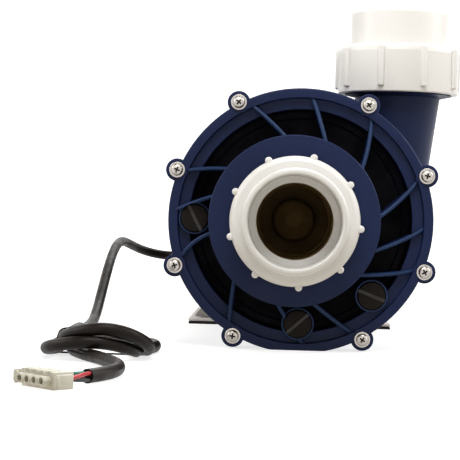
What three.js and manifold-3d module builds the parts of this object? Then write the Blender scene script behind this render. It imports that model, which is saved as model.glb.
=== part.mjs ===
// A spa and pool circulation pump, in millimetres: +X right, +Y from the suction towards the motor, +Z up.
// The origin is on the floor, under the middle of the motor's foot and under the shaft.
//
// The wet end and the motor are turned about the shaft, so they are built in a group whose own Y axis is
// the shaft and whose y = 0 is the front plane of the cover's flange. The discharge, the foot and the lead
// follow.

import * as THREE from 'three';
import { mergeVertices } from 'three/addons/utils/BufferGeometryUtils.js';
import Module from 'manifold-3d';

const wasm = await Module();
wasm.setup();

// ---- Driving dimensions --------------------------------------------------------------------------------

const shaftHeight = 88.9;      // shaft above the floor on a 56 frame motor
const rimY = -295;             // front plane of the cover's flange
const gap = 0.3;               // air left between neighbours

const casingX = 4.3;           // the casing's circle is off the shaft by this much
const flangeRadius = 90.95;
const flangeLip = 84.3;        // inner edge of the raised flange face
const stepRadius = 76.4;       // inner edge of the sunk step behind the lip
const stepDepth = 4.5;
const coverFlange = 10;        // thickness of the cover's flange
const floorFront = 22;         // bottom of the ribbed recess
const floorBack = 26;
const plugRadius = 80;         // the part of the cover that enters the casing

const collarRadius = 58.4;
const collarFront = -16.5;
const wall = 4;
const collarFoot = 66.5;        // the collar's step on the recess's floor
const floorInner = 62;         // inner edge of the thick part of the floor
const eyeRing = { inner: 31, outer: 35, back: 34 };  // holds the wear ring round the impeller's eye

const threadRadius = 38;       // 3 inch union thread, as a plain cylinder
const spigotLength = 23.5;     // from the collar's face to the end of the thread
const throatRadius = 25.4;
const spigotEnd = collarFront - spigotLength;
const groove = { inner: 28.6, outer: 33.6, depth: 3.6 };  // O-ring groove in a spigot's end
const oringRadius = 31.1;
const oringThickness = 1.7;
const oringRise = 1.8;

const earAngles = [21, 61, 119, 159, 201, 241, 299, 339];
const earCircle = 91.6;
const earRadius = 7.8;
const screwHole = 2.8;

// Each rib leaves the flange's lip at one angle about the casing's centre, meets the collar at another about
// the shaft, and its middle stands off its chord by a little.
const ribWidth = 2.9;
const ribPlaces = [
  { lip: 114.2, collar: 97.1, bow: 0.7 }, { lip: 86, collar: 69.3, bow: 0.4 },
  { lip: 56.8, collar: 38.5, bow: 1.4 }, { lip: 20.4, collar: 3.6, bow: 1.3 },
  { lip: 357.9, collar: 340.2, bow: 1.2 }, { lip: 337.9, collar: 321.3, bow: 1 },
  { lip: 296.3, collar: 283.7, bow: 0.4 }, { lip: 272.8, collar: 259.5, bow: 0.4 },
  { lip: 236.6, collar: 225.9, bow: 0.5 }, { lip: 198.2, collar: 190, bow: 2.4 },
  { lip: 176.5, collar: 164.2, bow: 0.6 }, { lip: 157.8, collar: 143.4, bow: 0.9 },
];

const drains = [
  { angle: 180, circle: 72.6, slot: 118.6 },
  { angle: 270, circle: 70.7, slot: 41.6 },
  { angle: 315, circle: 70.7, slot: -20.4 },
];
const drainHead = 9.6;
const drainStem = 6.5;
const drainBoss = 11.3;        // raised ring that the plug's head sits in
const drainSeat = 8.6;         // depth of the head's seat
const drainEnd = 27;
const drainClear = 0.4;

const gasketBack = 11.5;
const casingFlangeBack = 22;
const voluteBack = 96;
const voluteWall = 4;
const tongueAngle = 60;        // where the volute begins, just left of the outlet
const voluteStart = 78;
const voluteEnd = 89.5;

const outletX = 72.6;          // discharge axis, from the shaft
const outletS = 63;
const outletNutZ = 92;         // open end of the discharge nut, above the shaft
const neckFootX = 62.1;        // the neck's axis at shaft height
const neckFootRadius = 28.6;
const neckRadius = 30.4;

const nutRadius = 43;
const nutHeight = 34;
const nutLip = 35.2;           // hole that the tailpiece comes through
const nutBore = 38.4;
const nutRibs = 9;
const nutRibRadius = 2.4;
const nutReach = 21;           // how far a nut's open end stands past the spigot's end
const suctionNutTurn = 34.8;   // angle of each nut's first rib
const dischargeNutTurn = -70;
const socketRadius = 30.3;     // takes a 2 inch pipe, 60.3 across
const tailRadius = 34.7;
const tailLength = 37.7;

const motorFace = 104.5;
const motorRadius = 78;
const shellFront = 124.3;
const shellBack = 330;
const bellBack = 352;
const motorEnd = 388;
const shaftRadius = 8;
const boltCircle = 70.5;
const boltHole = 2.6;
const bellInner = 74;          // inside the end bells, and the stator's outside
const shellInner = 75;
const hubInner = 22.5;         // the bearing hubs in the end bells
const hubOuter = 27;
const bellHole = 11;
const coreFront = 165;         // the stator and rotor stacks
const coreBack = 285;
const rotorRadius = 40;
const armRadius = 14;          // the shaft inside the motor
const bearingSeat = 10;
const canopyWall = 1.8;
const canopyEnd = 2.5;
const cordExit = { s: 370, z: -38.9 };  // the lead's exit on the motor canopy's left side
const exitFaceX = -74;

const footWidth = 165;
const footLength = 165;
const footPlate = 2.2;
const footSlot = { x: 62, y: 63.5, long: 25, wide: 8.7 };  // the long bolt pattern of a 56H foot
const cradleY = 47;            // outer faces of the two end plates under the motor
const cradlePlate = 3;
const cradleFoot = 81;         // half the width of an end plate, down on the foot
const cradleTop = 50;          // and up where it meets the shell
const matThickness = 1.8;

const cordRadius = 4;
const cordSides = 8;
const hankX = -122;
const hankY = -365;
const hankEnd = 36.6;           // radius of the hank's round ends
const hankHalf = 24;           // from its middle to the centre of each end
const hankWaist = 31.6;
const hankHeight = 24.6;

// The lead's route from the strain relief to the hank, and from the hank to the plug.
const leadPoints = [
  [-98, 75, 50], [-108, 74.4, 49.8], [-120, 70.5, 51], [-131, 62, 53.8], [-139, 48, 57.6],
  [-144.5, 31, 61.4], [-147.5, 12, 63.6], [-149, -8, 62.6], [-150, -28, 58.6], [-150.8, -48, 51.8],
  [-151.4, -68, 42.8], [-152, -88, 32.4], [-152.4, -108, 22], [-152.6, -128, 12.8],
  [-152.6, -150, 6.4], [-152.4, -174, 4.3], [-151.6, -200, 4.3], [-150, -226, 4.3],
  [-148.4, -252, 4.6], [-146.6, -276, 6.8], [-144.8, -292, 9.6], [-143.6, -306, 11.8],
];

const tailPoints = [
  [-117.6, -427.6, 4.3], [-110.5, -444, 4.3], [-103.5, -462, 4.3], [-99.5, -481, 4.3],
  [-99.8, -500, 4.3], [-104.2, -517, 4.3], [-111.5, -532, 4.3],
];

const plugTurn = 225;          // direction of the plug's pins on the floor, in degrees from +X
const plugBack = [-125, -549];
const plugThick = 9.5;
const plugAxis = plugThick / 2;
const wireRadius = 1.2;
const wireCircle = 2.35;
const wireLanes = [0, 2, 3, 1]; // the way in the plug of the red, green, white and black conductor
const wireReach = 9;
const pinPitch = 6.35;
const tieWidth = 1.4;          // the twisted wire tie round the hank's waist
const tieTop = 18.6;
const tieLoose = 1.9;

// Sides of the round pieces: casings, mid-sized rings, unions, the motor, and small pieces.
const bigSteps = 36;
const steps = 20;
const unionSteps = 28;
const motorSteps = 24;
const fewSteps = 10;

// ---- Materials -----------------------------------------------------------------------------------------

function material(color, roughness, metalness = 0) {
  return new THREE.MeshStandardMaterial({ color, roughness, metalness });
}

const navy = material(0x232c4d, 0.45);
const pvc = material(0xe9e8e3, 0.4);
const black = material(0x1b1715, 0.6);
const rubber = material(0x141110, 0.9);
const stainless = material(0xc9c3bb, 0.3, 1);
const steel = material(0xa79e97, 0.45, 0.9);
const motorPaint = material(0x17171a, 0.5, 0.3);
const copper = material(0xb0693a, 0.4, 0.9);
const iron = material(0x5b5d61, 0.6, 0.8);
const ceramic = material(0xe4e1d8, 0.3);
const jacket = material(0x2a2524, 0.7);
const nylon = material(0xd8d6ca, 0.5);
const wireColours = {
  red: material(0xbe1e2d, 0.5),
  green: material(0x006e5a, 0.5),
  white: material(0xe6e4e0, 0.5),
  black: material(0x201c1c, 0.5),
};

// ---- Solids --------------------------------------------------------------------------------------------

// The closed solid of a geometry: corners merged, flat triangles dropped, faces turned outward.
function solid(geometry) {
  const bare = new THREE.BufferGeometry();
  bare.setAttribute('position', geometry.getAttribute('position').clone());
  if (geometry.index) bare.setIndex(geometry.index.clone());
  const merged = mergeVertices(bare, 1e-4);
  const corners = merged.getAttribute('position').array;
  const faces = [];
  let volume = 0;
  for (let i = 0; i < merged.index.count; i += 3) {
    const [a, b, c] = [0, 1, 2].map((k) => merged.index.getX(i + k));
    if (a === b || b === c || c === a) continue;
    faces.push(a, b, c);
    const [p, q, r] = [a, b, c].map((k) => new THREE.Vector3().fromArray(corners, 3 * k));
    volume += p.dot(q.cross(r));
  }
  if (volume < 0) faces.reverse();
  return new wasm.Manifold(new wasm.Mesh({
    numProp: 3,
    vertProperties: new Float32Array(corners),
    triVerts: new Uint32Array(faces),
  }));
}

function geometryOf(body) {
  const mesh = body.getMesh();
  const geometry = new THREE.BufferGeometry();
  geometry.setAttribute('position', new THREE.BufferAttribute(mesh.vertProperties, 3));
  geometry.setIndex(new THREE.BufferAttribute(mesh.triVerts, 1));
  geometry.computeVertexNormals();
  return geometry;
}

// A body of revolution about Y. The profile is [radius, along] pairs; off the axis it closes on itself.
function turned(profile, sides = bigSteps, x = 0) {
  const points = profile.map(([radius, along]) => new THREE.Vector2(radius, along));
  if (profile[0][0] > 0) points.push(points[0].clone());
  return new THREE.LatheGeometry(points, sides).translate(x, 0, 0);
}

function rod(radius, from, to, x = 0, z = 0, sides = fewSteps) {
  return turned([[0, from], [radius, from], [radius, to], [0, to]], sides).translate(x, 0, z);
}

function tube(inner, outer, from, to, sides = steps) {
  return turned([[inner, from], [outer, from], [outer, to], [inner, to]], sides);
}

// A flat outline in X and Z, made thick along Y.
function slab(outline, from, to) {
  const depth = to - from;
  const plate = new THREE.ExtrudeGeometry(outline, { depth, bevelEnabled: false, curveSegments: 8 });
  return plate.rotateX(Math.PI / 2).translate(0, to, 0);
}

function ringOf(radius, thickness, along, sides = steps) {
  const profile = [];
  for (let i = 0; i < 6; i += 1) {
    const turn = ((i + 0.5) / 6) * 2 * Math.PI;
    profile.push([radius + thickness * Math.cos(turn), along + thickness * Math.sin(turn)]);
  }
  return turned(profile, sides);
}

// A point at an angle, in degrees, from the casing's centre or from the shaft.
function onCircle(radius, degrees, centreX = casingX) {
  const turn = THREE.MathUtils.degToRad(degrees);
  return [centreX + radius * Math.cos(turn), radius * Math.sin(turn)];
}

function joined(bodies) {
  return bodies.reduce((whole, body) => whole.add(body));
}

function cut(body, tools) {
  return tools.reduce((rest, tool) => rest.subtract(tool), body);
}

// ---- Front cover ---------------------------------------------------------------------------------------

function coverRing() {
  return solid(turned([
    [flangeLip, 0], [flangeRadius, 0], [flangeRadius, coverFlange], [plugRadius, coverFlange],
    [plugRadius, floorBack], [floorInner, floorBack], [floorInner, floorFront], [stepRadius, floorFront],
    [stepRadius, stepDepth], [flangeLip, stepDepth],
  ], bigSteps, casingX));
}

// The collar, the threaded suction spigot with its O-ring groove, and the tube round the impeller's eye.
function coverCollar() {
  return solid(turned([
    [collarRadius - wall, floorBack], [collarFoot, floorBack], [collarFoot, floorFront],
    [collarRadius, floorFront],
    [collarRadius, collarFront], [threadRadius, collarFront], [threadRadius, spigotEnd],
    [groove.outer, spigotEnd], [groove.outer, spigotEnd + groove.depth],
    [groove.inner, spigotEnd + groove.depth], [groove.inner, spigotEnd],
    [throatRadius, spigotEnd], [throatRadius, floorBack], [eyeRing.inner, floorBack],
    [eyeRing.inner, eyeRing.back], [eyeRing.outer, eyeRing.back],
    [eyeRing.outer, collarFront + wall], [collarRadius - wall, collarFront + wall],
  ]));
}

function rib({ lip, collar, bow }) {
  const outer = new THREE.Vector2(...onCircle(flangeLip + 1.2, lip));
  const inner = new THREE.Vector2(...onCircle(collarRadius - 1.5, collar, 0));
  const along = inner.clone().sub(outer).normalize();
  const side = new THREE.Vector2(-along.y, along.x);
  const middle = outer.clone().add(inner).multiplyScalar(0.5).addScaledVector(side, 2 * bow);
  const path = new THREE.QuadraticBezierCurve(outer, middle, inner).getPoints(3);
  const left = path.map((p) => p.clone().addScaledVector(side, ribWidth / 2));
  const right = path.map((p) => p.clone().addScaledVector(side, -ribWidth / 2));
  return solid(slab(new THREE.Shape([...left, ...right.reverse()]), collarFront, floorFront + 1));
}

// The ribs' tops fall from the flange's face towards the collar's front.
function ribs() {
  const slope = solid(turned([
    [collarRadius - 2, floorFront + 1], [100, floorFront + 1], [100, 7], [collarRadius - 2, -10],
  ], steps));
  return joined(ribPlaces.map(rib)).intersect(slope);
}

function ears(from, to) {
  return earAngles.map((angle) => solid(rod(earRadius, from, to, ...onCircle(earCircle, angle), 12)));
}

function screwHoles(from, to) {
  return earAngles.map((angle) => solid(rod(screwHole, from, to, ...onCircle(earCircle, angle), 6)));
}

function drainPlace({ angle, circle }) {
  return onCircle(circle, angle);
}

// The casing stands on a short flat under its lowest point.
function underCut() {
  return solid(new THREE.BoxGeometry(80, 80, 20).translate(casingX, 10, -shaftHeight - 10));
}

function frontCover() {
  const bosses = drains.map((drain) => solid(rod(drainBoss, 0.6, floorBack, ...drainPlace(drain), 16)));
  const bores = drains.flatMap((drain) => [
    solid(rod(drainHead + drainClear, -20, drainSeat, ...drainPlace(drain), 16)),
    solid(rod(drainStem + drainClear, 0, floorBack + 1, ...drainPlace(drain), 12)),
  ]);
  const cover = joined([coverRing(), coverCollar(), ribs(), ...ears(0, coverFlange), ...bosses]);
  const around = solid(turned([
    [plugRadius, coverFlange], [100, coverFlange], [100, 30], [plugRadius, 30],
  ], bigSteps, casingX));
  return cut(cover, [...screwHoles(-1, coverFlange + 1), ...bores, around, underCut()]);
}

// ---- Rear casing ---------------------------------------------------------------------------------------

// The volute's outline grows counter-clockwise, seen from the suction, from the tongue to the outlet.
function voluteOutline(inset) {
  const points = [];
  for (let angle = tongueAngle; angle < tongueAngle + 360; angle += 10) {
    const grown = Math.min((angle - tongueAngle) / (360 - tongueAngle), 1);
    const past = Math.max(angle - 360, 0) / tongueAngle;
    const radius = voluteStart + (voluteEnd - voluteStart) * (grown - past) - inset;
    points.push(new THREE.Vector2(...onCircle(radius, angle)));
  }
  return new THREE.Shape(points);
}

// A body of revolution about the discharge's vertical axis; the profile's heights are above the shaft.
function upright(profile, sides = unionSteps) {
  return turned(profile, sides).rotateX(Math.PI / 2).translate(outletX, outletS, 0);
}

// The neck leans: it is sheared so that its axis reaches neckFootX at shaft height.
function leaning(geometry) {
  const lean = (outletX - neckFootX) / outletNutZ;
  const shear = new THREE.Matrix4().set(1, 0, lean, -lean * outletNutZ, 0, 1, 0, 0, 0, 0, 1, 0, 0, 0, 0, 1);
  return geometry.applyMatrix4(shear);
}

function neck() {
  const top = outletNutZ + nutReach;
  const shoulder = outletNutZ - 2;
  const pipe = leaning(upright([[0, 0], [neckFootRadius, 0], [neckRadius, shoulder], [0, shoulder]]));
  const spigot = upright([
    [0, shoulder - 0.4], [neckRadius, shoulder - 0.4], [threadRadius, shoulder + 1.4], [threadRadius, top],
    [groove.outer, top], [groove.outer, top - groove.depth], [groove.inner, top - groove.depth],
    [groove.inner, top], [0, top],
  ]);
  return solid(pipe).add(solid(spigot));
}

function neckBore() {
  const pipe = leaning(upright([[0, 6], [throatRadius, 6], [throatRadius, outletNutZ], [0, outletNutZ]]));
  const start = outletNutZ - 3;
  const mouth = upright([[0, start], [throatRadius, start], [throatRadius, 130], [0, 130]]);
  return solid(pipe).add(solid(mouth));
}

function rearCasing() {
  const flange = solid(turned([
    [81, gasketBack + gap], [flangeRadius, gasketBack + gap], [flangeRadius, casingFlangeBack],
    [85, casingFlangeBack], [85, 31], [81, 31],
  ], bigSteps, casingX));
  const drum = solid(slab(voluteOutline(0), casingFlangeBack - 1, voluteBack));
  const adapter = solid(tube(66, 73, voluteBack - 1, motorFace - gap, steps));
  const hub = solid(tube(11, 22, 84, voluteBack));
  const chamber = solid(slab(voluteOutline(voluteWall), 28, voluteBack - voluteWall));
  const mouth = solid(rod(81, 5, 28.5, casingX, 0, bigSteps));
  const shell = cut(joined([flange, drum, neck(), adapter, ...ears(gasketBack + gap, casingFlangeBack)]), [
    chamber, mouth, neckBore(), underCut(),
  ]);
  const seat = solid(rod(16, 83, voluteBack - voluteWall, 0, 0, steps));
  const shaftWay = solid(rod(11, 83, voluteBack + 1, 0, 0, steps));
  return cut(shell.add(hub), [seat, shaftWay, ...screwHoles(5, 20)]);
}

// ---- Fasteners and plugs -------------------------------------------------------------------------------

// A pan-head screw on its washer: one turned body, with its head towards -Y.
function coverScrew(x, z) {
  return turned([
    [0, -4.4], [2.6, -4.2], [4.2, -1.5], [5.45, -1.5], [5.45, -gap], [2.3, -gap], [2.3, 19], [0, 19],
  ], fewSteps).translate(x, 0, z);
}

function drainPlug() {
  const body = solid(turned([
    [0, -0.6], [drainHead - 0.6, -0.6], [drainHead, 0], [drainHead, 5], [drainStem, 5],
    [drainStem, drainEnd], [0, drainEnd],
  ], 14));
  const slot = solid(new THREE.BoxGeometry(30, 3.6, 2.4));
  return body.subtract(slot);
}

// ---- Unions --------------------------------------------------------------------------------------------

// A union stands on the axis Y with its open end at y = 0 and everything towards -Y.
function unionNut(turn) {
  const body = turned([
    [nutLip, -nutHeight], [39.6, -nutHeight], [42, 1.4 - nutHeight], [nutRadius, 4.5 - nutHeight],
    [nutRadius, 0], [nutBore, 0], [nutBore, 6.2 - nutHeight], [nutLip, 6.2 - nutHeight],
  ], unionSteps);
  const grips = [];
  for (let i = 0; i < nutRibs; i += 1) {
    const [x, z] = onCircle(nutRadius + 0.4, turn + (i * 360) / nutRibs, 0);
    grips.push(solid(rod(nutRibRadius, 2 - nutHeight, -3.5, x, z, 6)));
  }
  return joined([solid(body), ...grips]);
}

function tailpiece() {
  return turned([
    [throatRadius, 0], [37.9, 0], [37.9, -6], [tailRadius, -6], [tailRadius, 2.6 - tailLength],
    [tailRadius - 0.6, 1 - tailLength], [tailRadius - 2, -tailLength],
    [socketRadius, -tailLength], [socketRadius, -4.7], [throatRadius, -4.7],
  ], unionSteps);
}

// ---- Rotating parts ------------------------------------------------------------------------------------

function impeller() {
  const back = solid(tube(shaftRadius + gap, 60, 56, 60));
  const hub = solid(turned([
    [0, 35.5], [6, 36.3], [11.5, 39.5], [15, 45], [15, 64], [shaftRadius + gap, 64],
    [shaftRadius + gap, 41.6], [0, 41.6],
  ], steps));
  const front = solid(turned([
    [24, 27], [27, 27], [27, 38], [60, 45], [60, 47.5], [24, 40.5],
  ], steps));
  const vanes = [];
  for (let i = 0; i < 6; i += 1) {
    const path = [];
    for (let k = 0; k <= 3; k += 1) path.push(onCircle(25 + k * 11.2, i * 60 - k * 23, 0));
    const ends = path.map(([x, z]) => new THREE.Vector2(x, z));
    const rear = ends.map((p) => p.clone().rotateAround(new THREE.Vector2(), 0.05));
    vanes.push(solid(slab(new THREE.Shape([...ends, ...rear.reverse()]), 41, 57)));
  }
  const reach = solid(turned([[24.5, 40], [59, 46.5], [59, 57], [24.5, 57]], steps));
  return joined([back, hub, front, joined(vanes).intersect(reach)]);
}

function pumpShaft() {
  return turned([
    [0, 42], [shaftRadius, 42], [shaftRadius, 108], [bearingSeat, 108.3], [bearingSeat, 126],
    [armRadius, 126.3], [armRadius, 328], [bearingSeat, 328.3], [bearingSeat, 350], [0, 350],
  ], 12);
}

class SpringPath extends THREE.Curve {
  getPoint(t, target = new THREE.Vector3()) {
    const turn = t * 4 * 2 * Math.PI;
    return target.set(11.3 * Math.cos(turn), 66 + 10.5 * t, 11.3 * Math.sin(turn));
  }
}

function disc(radius, sides) {
  const points = [];
  for (let i = 0; i < sides; i += 1) {
    const turn = ((i + 0.5) / sides) * 2 * Math.PI;
    points.push(new THREE.Vector2(radius * Math.cos(turn), radius * Math.sin(turn)));
  }
  return new THREE.Shape(points);
}

function along(path, radius, sides, count) {
  const sweep = { extrudePath: path, steps: count, bevelEnabled: false };
  return new THREE.ExtrudeGeometry(disc(radius, sides), sweep);
}

function fan() {
  const hub = solid(tube(armRadius + gap, 20, 312, 326));
  const blades = [];
  for (let i = 0; i < 8; i += 1) {
    const blade = new THREE.BoxGeometry(38, 12, 2).translate(37, 0, 0).rotateX(0.5);
    blades.push(solid(blade.rotateY((i * Math.PI) / 4).translate(0, 319, 0)));
  }
  return joined([hub, ...blades]);
}

// ---- Motor ---------------------------------------------------------------------------------------------

function boltPlaces() {
  return [45, 135, 225, 315].map((angle) => onCircle(boltCircle, angle, 0));
}

function boltHoles(radius, from, to) {
  return boltPlaces().map(([x, z]) => solid(rod(radius, from, to, x, z, 8)));
}

function frontBell() {
  const body = solid(turned([
    [bellHole, motorFace], [motorRadius, motorFace], [motorRadius, shellFront - gap],
    [bellInner, shellFront - gap], [bellInner, motorFace + wall], [hubOuter, motorFace + wall],
    [hubOuter, shellFront - gap], [hubInner, shellFront - gap], [hubInner, motorFace + wall],
    [bellHole, motorFace + wall],
  ], motorSteps));
  return cut(body, boltHoles(boltHole, motorFace - 5, motorFace + 10));
}

function rearBell() {
  const body = solid(turned([
    [bellHole, bellBack], [motorRadius, bellBack], [motorRadius, shellBack + gap],
    [bellInner, shellBack + gap], [bellInner, bellBack - wall], [hubOuter, bellBack - wall],
    [hubOuter, shellBack + 2], [hubInner, shellBack + 2], [hubInner, bellBack - wall],
    [bellHole, bellBack - wall],
  ], motorSteps));
  return cut(body, boltHoles(boltHole, bellBack - 10, bellBack + 10));
}

function throughBolt() {
  return turned([
    [0, 106], [2.2, 106], [2.2, bellBack + gap], [4, bellBack + gap], [4, bellBack + 4], [0, bellBack + 4],
  ], 8);
}

function statorCore() {
  const core = solid(tube(rotorRadius + 0.6, bellInner, coreFront, coreBack, motorSteps));
  return cut(core, boltHoles(boltHole + 0.2, coreFront - 5, coreBack + 5));
}

function winding(from, to) {
  return turned([[42, from], [64, from], [67, from + 4], [67, to], [42, to]], 20);
}

function alongX(geometry, x, s, z) {
  return geometry.rotateZ(Math.PI / 2).translate(x, s, z);
}

function motorCanopy() {
  const outer = motorRadius - 1;
  const body = solid(turned([
    [0, motorEnd], [outer - 10, motorEnd], [outer - 3, motorEnd - 3], [outer, motorEnd - 10],
    [outer, bellBack + gap], [0, bellBack + gap],
  ], motorSteps));
  const hollow = solid(turned([
    [0, bellBack - 1], [outer - canopyWall, bellBack - 1], [outer - canopyWall, motorEnd - 9],
    [outer - 11, motorEnd - canopyEnd], [0, motorEnd - canopyEnd],
  ], 32));
  const boss = solid(alongX(rod(11.5, 0, 34), exitFaceX + 34, cordExit.s, cordExit.z));
  const way = solid(alongX(rod(7.3, -1, 40), exitFaceX + 39, cordExit.s, cordExit.z));
  const clear = solid(rod(61, bellBack, motorEnd - canopyEnd, 0, 0, motorSteps));
  return body.subtract(hollow).add(boss.subtract(clear)).subtract(way);
}

function capacitor() {
  return alongX(turned([
    [0, -36], [13.5, -36], [15.5, -34], [15.5, 36], [0, 36],
  ], 16), 0, 370, 38);
}

// ---- Foot ----------------------------------------------------------------------------------------------

// One end plate of the cradle: it rises from the foot's edge in a full curve and cups the shell.
function cradleEnd() {
  const low = matThickness + gap;
  const saddle = motorRadius + gap;
  const shape = new THREE.Shape();
  shape.moveTo(-cradleFoot, low);
  shape.lineTo(cradleFoot, low);
  shape.quadraticCurveTo(70, 19, cradleTop, 29);
  for (let x = cradleTop - 2; x >= 2 - cradleTop; x -= 12) {
    shape.lineTo(x, shaftHeight - Math.sqrt(saddle * saddle - x * x) - 0.6);
  }
  shape.lineTo(-cradleTop, 29);
  shape.quadraticCurveTo(-70, 19, -cradleFoot, low);
  return shape;
}

function footBase() {
  const sheet = new THREE.BoxGeometry(footWidth, footLength, footPlate);
  const plate = solid(sheet.translate(0, 0, matThickness + gap + footPlate / 2));
  const ends = [-cradleY, cradleY - cradlePlate].map((y) => solid(slab(cradleEnd(), y, y + cradlePlate)));
  const saddle = solid(rod(motorRadius + gap, -80, 80, 0, shaftHeight, 48));
  const slots = [-1, 1].flatMap((side) => [-1, 1].map((end) => {
    const slot = new THREE.BoxGeometry(footSlot.long, footSlot.wide, 20);
    return solid(slot.translate(side * footSlot.x, end * footSlot.y, 3));
  }));
  return cut(joined([plate, ...ends]), [saddle, ...slots]);
}

// ---- Lead ----------------------------------------------------------------------------------------------

function curve(points) {
  return new THREE.CatmullRomCurve3(points.map((p) => new THREE.Vector3(...p)));
}

function cordTube(points, count) {
  return along(curve(points), cordRadius, cordSides, count);
}

function hankOutline() {
  const shape = new THREE.Shape();
  const bend = 2 * hankWaist - hankEnd;
  shape.absarc(hankX, hankY + hankHalf, hankEnd, 0, Math.PI, false);
  shape.quadraticCurveTo(hankX - bend, hankY, hankX - hankEnd, hankY - hankHalf);
  shape.absarc(hankX, hankY - hankHalf, hankEnd, Math.PI, 2 * Math.PI, false);
  shape.quadraticCurveTo(hankX + bend, hankY, hankX + hankEnd, hankY + hankHalf);
  return shape;
}

function tieBand(grow) {
  const outline = new THREE.Shape();
  const half = hankWaist + tieLoose + grow;
  outline.moveTo(hankX - half, 0.1 - grow);
  outline.lineTo(hankX + half, 0.1 - grow);
  outline.lineTo(hankX + half, tieTop + grow);
  outline.lineTo(hankX - half, tieTop + grow);
  return outline;
}

function cordTie() {
  const band = solid(slab(tieBand(0), hankY - tieWidth / 2, hankY + tieWidth / 2));
  const inside = solid(slab(tieBand(-tieWidth), hankY - 5, hankY + 5));
  return band.subtract(inside);
}

// The hank's outer shape, with a groove all round its waist where the tie lies.
function cordHank() {
  const size = { depth: hankHeight, bevelEnabled: false, curveSegments: 10 };
  const plan = new THREE.ExtrudeGeometry(hankOutline(), size);
  const half = tieWidth / 2 + gap;
  const around = solid(new THREE.BoxGeometry(120, 2 * half, 80).translate(hankX, hankY, 0));
  const core = solid(slab(tieBand(-tieWidth - gap), hankY - 5, hankY + 5));
  return solid(plan.translate(0, 0, 0.2)).subtract(around.subtract(core));
}

function strainRelief() {
  return turned([
    [0, 20], [6.9, 20], [6.9, -gap], [9.6, -gap], [9.6, -3], [8.2, -5], [5, -24 + gap], [0, -24 + gap],
  ], fewSteps).rotateZ(-Math.PI / 2).translate(exitFaceX, rimY + cordExit.s, shaftHeight + cordExit.z);
}

// The four-pin plug, lying flat: its pins point along its own +X, and its back is at x = 0.
function plugHousing() {
  const body = solid(new THREE.BoxGeometry(14, 4 * pinPitch + 2.4, plugThick).translate(7, 0, plugAxis));
  const parts = [body];
  for (let i = 0; i < 4; i += 1) {
    const barrel = rod(2.7, 13, 19, 0, 0, 8).rotateZ(-Math.PI / 2);
    parts.push(solid(barrel.translate(0, (i - 1.5) * pinPitch, plugAxis)));
  }
  for (const side of [-1, 1]) {
    const edge = side * (2 * pinPitch + 1.2);
    parts.push(solid(new THREE.BoxGeometry(3, 4.4, plugThick - 2).translate(8, edge + side * 2, plugAxis)));
    parts.push(solid(new THREE.BoxGeometry(14, 1.4, plugThick).translate(8, edge + side * 4.4, plugAxis)));
  }
  return joined(parts);
}

function plugPlace(x, y, z) {
  const turn = THREE.MathUtils.degToRad(plugTurn);
  const point = new THREE.Vector3(x, y, z).applyAxisAngle(new THREE.Vector3(0, 0, 1), turn);
  return point.add(new THREE.Vector3(plugBack[0], plugBack[1], 0.2));
}

// A conductor runs from its quarter of the jacket's end to its own way in the plug.
function conductor(index) {
  const [before, last] = tailPoints.slice(-2).map((p) => new THREE.Vector3(...p));
  const out = last.clone().sub(before).normalize();
  const side = new THREE.Vector3(-out.y, out.x, 0);
  const turn = Math.PI / 4 + (index * Math.PI) / 2;
  const start = last.clone().addScaledVector(out, gap);
  start.addScaledVector(side, wireCircle * Math.cos(turn));
  start.z += wireCircle * Math.sin(turn);
  const lane = (1.5 - wireLanes[index]) * pinPitch;
  const lift = 0.8 * (start.z - last.z);
  return new THREE.CubicBezierCurve3(
    start,
    start.clone().addScaledVector(out, wireReach),
    plugPlace(-wireReach, lane, plugAxis + lift),
    plugPlace(-gap, lane, plugAxis),
  );
}

// ---- Assembly ------------------------------------------------------------------------------------------

const pump = new THREE.Group();
const turnedParts = new THREE.Group();
turnedParts.position.set(0, rimY, shaftHeight);
pump.add(turnedParts);

function add(name, body, look, group = turnedParts) {
  const closed = body.isBufferGeometry ? solid(body) : body;
  const mesh = new THREE.Mesh(geometryOf(closed), look);
  mesh.name = name;
  group.add(mesh);
  return mesh;
}

add('front_cover', frontCover(), navy);
add('casing_gasket', turned([
  [81, coverFlange + gap], [88.4, coverFlange + gap], [88.4, gasketBack], [81, gasketBack],
], bigSteps, casingX), rubber);
add('rear_casing', rearCasing(), navy);

earAngles.forEach((angle, i) => {
  add(`cover_screw_${i + 1}`, coverScrew(...onCircle(earCircle, angle)), stainless);
});

drains.forEach((drain, i) => {
  const [x, z] = drainPlace(drain);
  const plug = add(`drain_plug_${i + 1}`, drainPlug(), black);
  plug.position.set(x, 0, z);
  plug.rotation.y = -THREE.MathUtils.degToRad(drain.slot);
  const ring = add(`drain_ring_${i + 1}`, ringOf(8.3, 1.25, 6.8, fewSteps), rubber);
  ring.position.set(x, 0, z);
});

const suctionNut = add('suction_nut', unionNut(suctionNutTurn), pvc);
suctionNut.position.y = spigotEnd + nutReach;
const suctionTail = add('suction_tailpiece', tailpiece(), pvc);
suctionTail.position.y = spigotEnd - gap;
add('suction_oring', ringOf(oringRadius, oringThickness, spigotEnd + oringRise), rubber);

const discharge = new THREE.Group();
discharge.position.set(outletX, outletS, outletNutZ);
discharge.rotation.x = -Math.PI / 2;
turnedParts.add(discharge);
add('discharge_nut', unionNut(dischargeNutTurn), pvc, discharge);
const dischargeTail = add('discharge_tailpiece', tailpiece(), pvc, discharge);
dischargeTail.position.y = -nutReach - gap;
add('discharge_oring', ringOf(oringRadius, oringThickness, oringRise - nutReach), rubber, discharge);

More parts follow.
